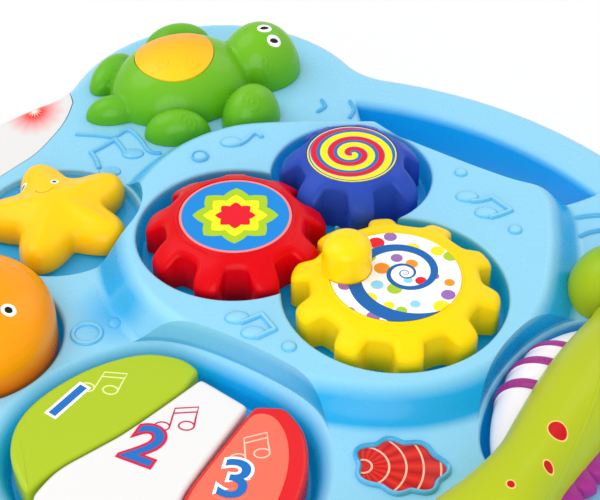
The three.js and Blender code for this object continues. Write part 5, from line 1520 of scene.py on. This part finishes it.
class TABLE_OT_turtle(bpy.types.Operator):
    """Models the turtle and the press button in its shell"""

    bl_idname = "table.turtle"
    bl_label = "Turtle"

    def execute(self, context):
        top = size("table_height")
        heading = math.degrees(TURTLE_BEARING) - 90
        scale = TURTLE_HALF_SIZE[1]
        body = egg("turtle_finished", TURTLE_PLACE, TURTLE_HALF_SIZE, top, heading, (64, 32))
        ahead = Vector((math.cos(TURTLE_BEARING), math.sin(TURTLE_BEARING)))
        aside = Vector((-ahead.y, ahead.x))
        limbs = []
        for forth, sideways, wide, long, tall, turn in TURTLE_LIMBS.values():
            place = Vector(TURTLE_PLACE) + ahead * forth * scale + aside * sideways * scale
            limbs.append(egg("limb", place, (wide * scale, long * scale, tall * scale), top, heading + turn))
        join(body, limbs)
        blended(body, 0.9, 5)
        pocket_floor = top + TURTLE_HALF_SIZE[2] - SHELL_BUTTON_DEPTH - SHELL_BUTTON_TRAVEL
        radius = SHELL_BUTTON_RADIUS + 0.3
        pocket = turned("pocket", SHELL_BUTTON_PLACE, [(radius, pocket_floor), (radius, top + 40)])
        combine(body, pocket)
        trim_below(body, top + 0.3)
        smoothed(body, 40)
        join(body, [
            swirl((-93.9, 111.8), 4.6, body),
            swirl((-113.2, 87.9), 4.2, body),
            swirl((-106.5, 142.0), 3.0, body, 1.1),
        ])
        finish_piece(body, "housing", self.finish(), "turtle", slot="turtle_green")
        self.button(heading, top, pocket_floor + SHELL_BUTTON_TRAVEL + SEAT_GAP)
        return {"FINISHED"}

    def finish(self):
        """Green, with painted shade that darkens it a little low down, and white eyes that have black bars.
        """
        finish = Finish("turtle_plastic")
        x, y, z = finish.axes()
        # Painted shade: a darker green low down
        low = (1 - (z - size("table_height")) / 20).clamped()
        base = finish.mixed(low * 0.7, tint("turtle"), srgb(0x46A81E))
        for eye in ((-114.5, 153.1, 283.8), (-107.5, 151.2, 280.9)):
            across, along, up = x - eye[0], y - eye[1], z - eye[2]
            forward = across * 0.545 + along * 0.839
            sideways = across * 0.839 - along * 0.545
            forward, sideways, up = forward * forward, sideways * sideways, up * up * 0.2
            white = forward * 0.55 + sideways + up < 7.5
            black = forward * 0.5 + sideways * 2.2 + up < 2.6
            base = finish.printed(base, (white, WHITE), (black, 0x101012))
        return finish.plastic(base, rough=0.27, coat=0.12, variation=0.12)

    def button(self, heading, top, low):
        """The part of a slightly larger shell that fills the pocket."""
        swollen = [half + 0.3 for half in TURTLE_HALF_SIZE]
        button = egg("shell_button_finished", TURTLE_PLACE, swollen, top, heading, (96, 64))
        sides = [(SHELL_BUTTON_RADIUS, low), (SHELL_BUTTON_RADIUS, top + 60)]
        combine(button, turned("core", SHELL_BUTTON_PLACE, sides), "INTERSECT")
        smoothed(button, 40)
        join(button, [
            swirl((-129.1, 111.5), 4.4, button, 1.4, 0.5),
            swirl((-140.2, 103.5), 3.4, button, 1.2, 0.5),
        ])
        finish = Finish("shell_button_plastic")
        x, y, _ = finish.axes((*SHELL_BUTTON_PLACE, 0))
        across = ((x * 0.54 - y * 0.84) / 38 + 0.5).clamped()
        base = finish.mixed(across, srgb(0xFBA012), tint("turtle_shell"))
        material = finish.plastic(base, rough=0.36, variation=0.12)
        finish_piece(button, "shell_button", material, "turtle_shell_button", slot="turtle_shell_yellow")


def spine(steps):
    """Places, half widths and heights along the seahorse, from a curve through its shares."""
    half = ROLLER_HALF_LENGTH
    knots = [
        (ROLLER_PLACE[0] + x * half, ROLLER_PLACE[1] + y * half, wide * half, high * half)
        for x, y, wide, high in SEAHORSE_SHARES
    ]
    return smooth_line(knots, steps)


def roller_ring(along, radius):
    """A circle round the roller's axis."""
    x, y, level = ROLLER_PLACE
    turns = [TURN * k / 72 for k in range(72)]
    return [Vector((x + radius * math.cos(a), y + along, level + radius * math.sin(a))) for a in turns]


def rounded_share(share):
    """A cosine or sine, moved towards the side of a box with round corners."""
    return math.copysign(abs(share) ** 0.86, share)


class TABLE_OT_seahorse(bpy.types.Operator):
    """Models the seahorse, its wavy fin and its rolling belly"""

    bl_idname = "table.seahorse"
    bl_label = "Seahorse"

    def execute(self, context):
        top = size("table_height")
        body = self.body(top)
        head, heading = SEAHORSE_HEAD["place"], SEAHORSE_HEAD["bearing"] - 90
        ahead = Vector(around(CENTER, 1, math.radians(SEAHORSE_HEAD["bearing"])))
        snout_place = Vector(head) + ahead * SEAHORSE_SNOUT["reach"]
        join(body, [
            egg("tail", SEAHORSE_TAIL["place"], SEAHORSE_TAIL["half_size"], top),
            egg("head", head, SEAHORSE_HEAD["half_size"], top, heading),
            egg("snout", snout_place, SEAHORSE_SNOUT["half_size"], top, heading),
            egg("cheek", SEAHORSE_CHEEK["place"], SEAHORSE_CHEEK["half_size"], top, 20),
        ])
        blended(body, 1.1, 5)
        combine(body, self.roller_room())
        trim_below(body, top + 0.3)
        smoothed(body, 40)
        crease = [(123, 28), (126.4, 16), (128.6, 2), (130, -12), (131, -26), (130, -38), (126, -50)]
        join(body, [draped("crease", smooth_line(crease, 8), body, 0.8)])
        finish_piece(body, "housing", self.finish(), "seahorse", slot="seahorse_lime")
        self.fin(top)
        self.roller()
        return {"FINISHED"}

    def body(self, top):
        stations = spine(6)
        last = len(stations) - 1
        turns = [TURN * k / 48 for k in range(48)]
        rings = []
        for i, point in enumerate(stations):
            ahead = (stations[min(i + 1, last)] - stations[max(i - 1, 0)]).xy.normalized()
            ring = []
            for turn in turns:
                across = rounded_share(math.cos(turn)) * point.z
                up = rounded_share(math.sin(turn)) * point.w
                ring.append(Vector((point.x - ahead.y * across, point.y + ahead.x * across, top + up)))
            rings.append(ring)
        return wrap("seahorse_finished", rings)

    def roller_room(self):
        gap = ROLLER_RIB + ROLLER_GAP
        rings = []
        for t in [-1 + 2 * i / 32 for i in range(33)]:
            radius = ROLLER_END_RADIUS + gap + (ROLLER_RADIUS - ROLLER_END_RADIUS) * (1 - t * t)
            rings.append(roller_ring(t * (ROLLER_HALF_LENGTH + gap), radius))
        return wrap("roller_room", rings)

    def finish(self):
        """Lime green with round red spots that have pale edges."""
        finish = Finish("seahorse_plastic")
        x, y, _ = finish.axes()
        base = finish.mixed(((y - 76) / 22).clamped(), tint("seahorse"), srgb(0x82B810))
        for place, radius in (((122.5, -9.6), 3.5), ((126.3, -23.9), 1.8), ((119.7, -40.6), 1.4)):
            distance = hypot(x - place[0], y - place[1])
            base = finish.printed(base, (distance < radius + 0.5, 0xF0D070), (distance < radius, 0xC4060E))
        return finish.plastic(base, rough=0.32, variation=0.08)

    def fin(self, top):
        """A magenta strip along the back, with scallops and raised folds."""
        near, far = (ROLLER_PLACE[1] + share * ROLLER_HALF_LENGTH for share in (-1.7, 0.2))
        span = [p for p in spine(40) if near <= p.y <= far]
        # Shares of the way outwards, and levels over the surface
        section = ((0, 2), (0.45, 1.2), (0.85, 2.0), (1, 4.2), (0.98, 6.5), (0.85, 8.4), (0.55, 10), (0, 11))
        rings = []
        for share in [i / 140 for i in range(141)]:
            point = span[round(share * (len(span) - 1))]
            scallop = abs(math.sin(math.pi * 9 * share))
            width = 7 * math.sin(math.pi * share) ** 0.6 * (0.45 + 0.55 * scallop)
            back, y = point.x + point.z, far + (near - far) * share
            inner, outer = Vector((back - 5, y)), Vector((back + width, y))
            wave = 2.4 * scallop
            rings.append([
                Vector((*inner.lerp(outer, across), top + level + wave * across * (level / 11) - wave * 0.4))
                for across, level in section
            ])
        piece = smoothed(wrap("seahorse_fin_finished", rings), 50)
        finish = plain_plastic("fin_plastic", tint("fin"), rough=0.34)
        finish_piece(piece, "housing", finish, "seahorse_fin", slot="fin_magenta")

    def roller(self):
        """The white drum, with three round ribs raised from it."""
        half = ROLLER_HALF_LENGTH
        rings = []
        for along in [-half + 2 * half * i / 168 for i in range(169)]:
            radius = ROLLER_END_RADIUS + (ROLLER_RADIUS - ROLLER_END_RADIUS) * (1 - (along / half) ** 2)
            for share in ROLLER_RIB_SHARES:
                away = abs(along - share * half) / ROLLER_RIB_HALF_WIDTH
                radius += ROLLER_RIB * math.sqrt(max(0, 1 - away**2))
            rings.append(roller_ring(along, radius))
        piece = smoothed(wrap("roller_finished", rings), 45)
        finish = Finish("roller_plastic")
        along = finish.axes(ROLLER_PLACE)[1]
        base = srgb(0xF6F2F6)
        for share in ROLLER_RIB_SHARES:
            base = finish.mixed(abs(along - share * half) < ROLLER_RIB_HALF_WIDTH - 0.3, base, tint("fin"))
        finish_piece(piece, "roller", finish.plastic(base, rough=0.26), "belly_roller", slot="roller_white")


# Lamp and sticker
class TABLE_OT_lamp(bpy.types.Operator):
    """Models the white lamp cover on the rim, which shows the red glow of the one lamp below it"""

    bl_idname = "table.lamp"
    bl_label = "Lamp"

    def execute(self, context):
        top = size("table_height")
        cover = housing_body()
        cover.name = "lamp_cover_finished"
        keep = [(LAMP_GAP, top - LAMP_DEPTH + 0.3), (LAMP_GAP, top + 4)]
        combine(cover, loft("keep", lamp_ring, keep), "INTERSECT")
        smoothed(cover, 32, weighted=True)
        finish_piece(cover, "housing", self.finish(), "lamp_cover", slot="lamp_white")
        return {"FINISHED"}

    def finish(self):
        """White, with a red glow that has short rays and a pale core."""
        finish = Finish("lamp_plastic")
        x, y, _ = finish.axes((-190, 66, 0))
        forth, aside = x * -0.545 + y * 0.839, x * 0.839 + y * 0.545
        distance, bearing = finish.polar(aside, forth * 0.72)
        rays = (bearing * 14).zigzag()
        red = ((1 - distance / (rays * 1.2 + 14)) * 1.3).clamped()
        hot = (1 - distance / (rays * 3.4 + 1.4)).math("MAXIMUM", 0)
        base = finish.printed(tint("lamp"), (red, 0xD81010), (hot, 0xFFF3D8))
        finish.glowing(red, base, 0.35)
        return finish.plastic(base, rough=0.3, variation=0.02)


class TABLE_OT_plate(bpy.types.Operator):
    """Models the printed shell sticker beside the keys"""

    bl_idname = "table.plate"
    bl_label = "Shell sticker"

    def execute(self, context):
        top = size("table_height")
        profile = [(0, top + 0.1), (0, top + 0.4), (-0.2, top + 0.5)]
        piece = smoothed(loft("shell_print_finished", plate_ring, profile), 30)
        finish = Finish("shell_print")
        x, y, _ = finish.axes((*PLATE_PLACE, 0))
        forward = x * math.cos(PLATE_BEARING) + y * math.sin(PLATE_BEARING)
        sideways = y * math.cos(PLATE_BEARING) - x * math.sin(PLATE_BEARING)
        distance, bearing = finish.polar(sideways, forward + 14)
        base = finish.mixed((bearing * 20).zigzag(), srgb(0xBC0A12), srgb(0xE8301E))
        base = finish.printed(base, ((distance / 6.5).zigzag() < 0.12, 0xFBC0A8))
        finish_piece(piece, "housing", finish.plastic(base, rough=0.32), "shell_sticker", slot="shell_print")
        return {"FINISHED"}


class TABLE_OT_inner_parts(bpy.types.Operator):
    """Gives the pieces inside the housing their finishes"""

    bl_idname = "table.inner_parts"
    bl_label = "Inner parts"

    def execute(self, context):
        finishes = {
            "cell": plain_plastic("cell_sleeve", srgb(0x4A4D52), rough=0.35),
            "royal_blue": plain_plastic("switch_plastic", tint("blue"), rough=0.4),
            "board": plain_plastic("board_mask", srgb(0x2D6B3A), rough=0.4),
            "black_plastic": plain_plastic("speaker_plastic", srgb(0x2A2A2C), rough=0.5),
            "dome_rubber": plain_plastic("dome_rubber", srgb(0xD8D4C8), rough=0.7, coat=0),
            "led_red": plain_plastic("led_red", srgb(0xF03A2A), rough=0.15),
            "led_clear": plain_plastic("led_clear", srgb(0xF0E6E2), rough=0.15),
            "steel": steel_finish(),
        }
        slots = {part["node"]: part["material_slot"] for part in frame["record"]["subparts"]}
        for name, node in frame["nodes"].items():
            if slots[name] in finishes:
                node.data.materials.clear()
                node.data.materials.append(finishes[slots[name]])
        return {"FINISHED"}


class TABLE_PT_panel(bpy.types.Panel):
    """Lists the table's operators"""

    bl_idname = "TABLE_PT_panel"
    bl_label = "Activity table"
    bl_space_type = "VIEW_3D"
    bl_region_type = "UI"
    bl_category = "Table"

    def draw(self, context):
        for operator in OPERATORS:
            self.layout.operator(operator.bl_idname)


OPERATORS = (
    TABLE_OT_stage, TABLE_OT_housing, TABLE_OT_cover, TABLE_OT_discs, TABLE_OT_keys, TABLE_OT_starfish,
    TABLE_OT_fish, TABLE_OT_turtle, TABLE_OT_seahorse, TABLE_OT_lamp, TABLE_OT_plate, TABLE_OT_inner_parts,
)
CLASSES = (TableSizes, TableColours, *OPERATORS, TABLE_PT_panel)


def register():
    for cls in CLASSES:
        bpy.utils.register_class(cls)
    bpy.types.Scene.table_sizes = bpy.props.PointerProperty(type=TableSizes)
    bpy.types.Scene.table_colours = bpy.props.PointerProperty(type=TableColours)


def unregister():
    del bpy.types.Scene.table_colours
    del bpy.types.Scene.table_sizes
    for cls in reversed(CLASSES):
        bpy.utils.unregister_class(cls)


def main():
    register()
    bpy.ops.table.stage()
    bpy.ops.table.housing()
    bpy.ops.table.cover()
    bpy.ops.table.discs()
    bpy.ops.table.keys()
    bpy.ops.table.starfish()
    bpy.ops.table.fish()
    bpy.ops.table.turtle()
    bpy.ops.table.seahorse()
    bpy.ops.table.lamp()
    bpy.ops.table.plate()
    bpy.ops.table.inner_parts()


if __name__ == "__main__":
    main()
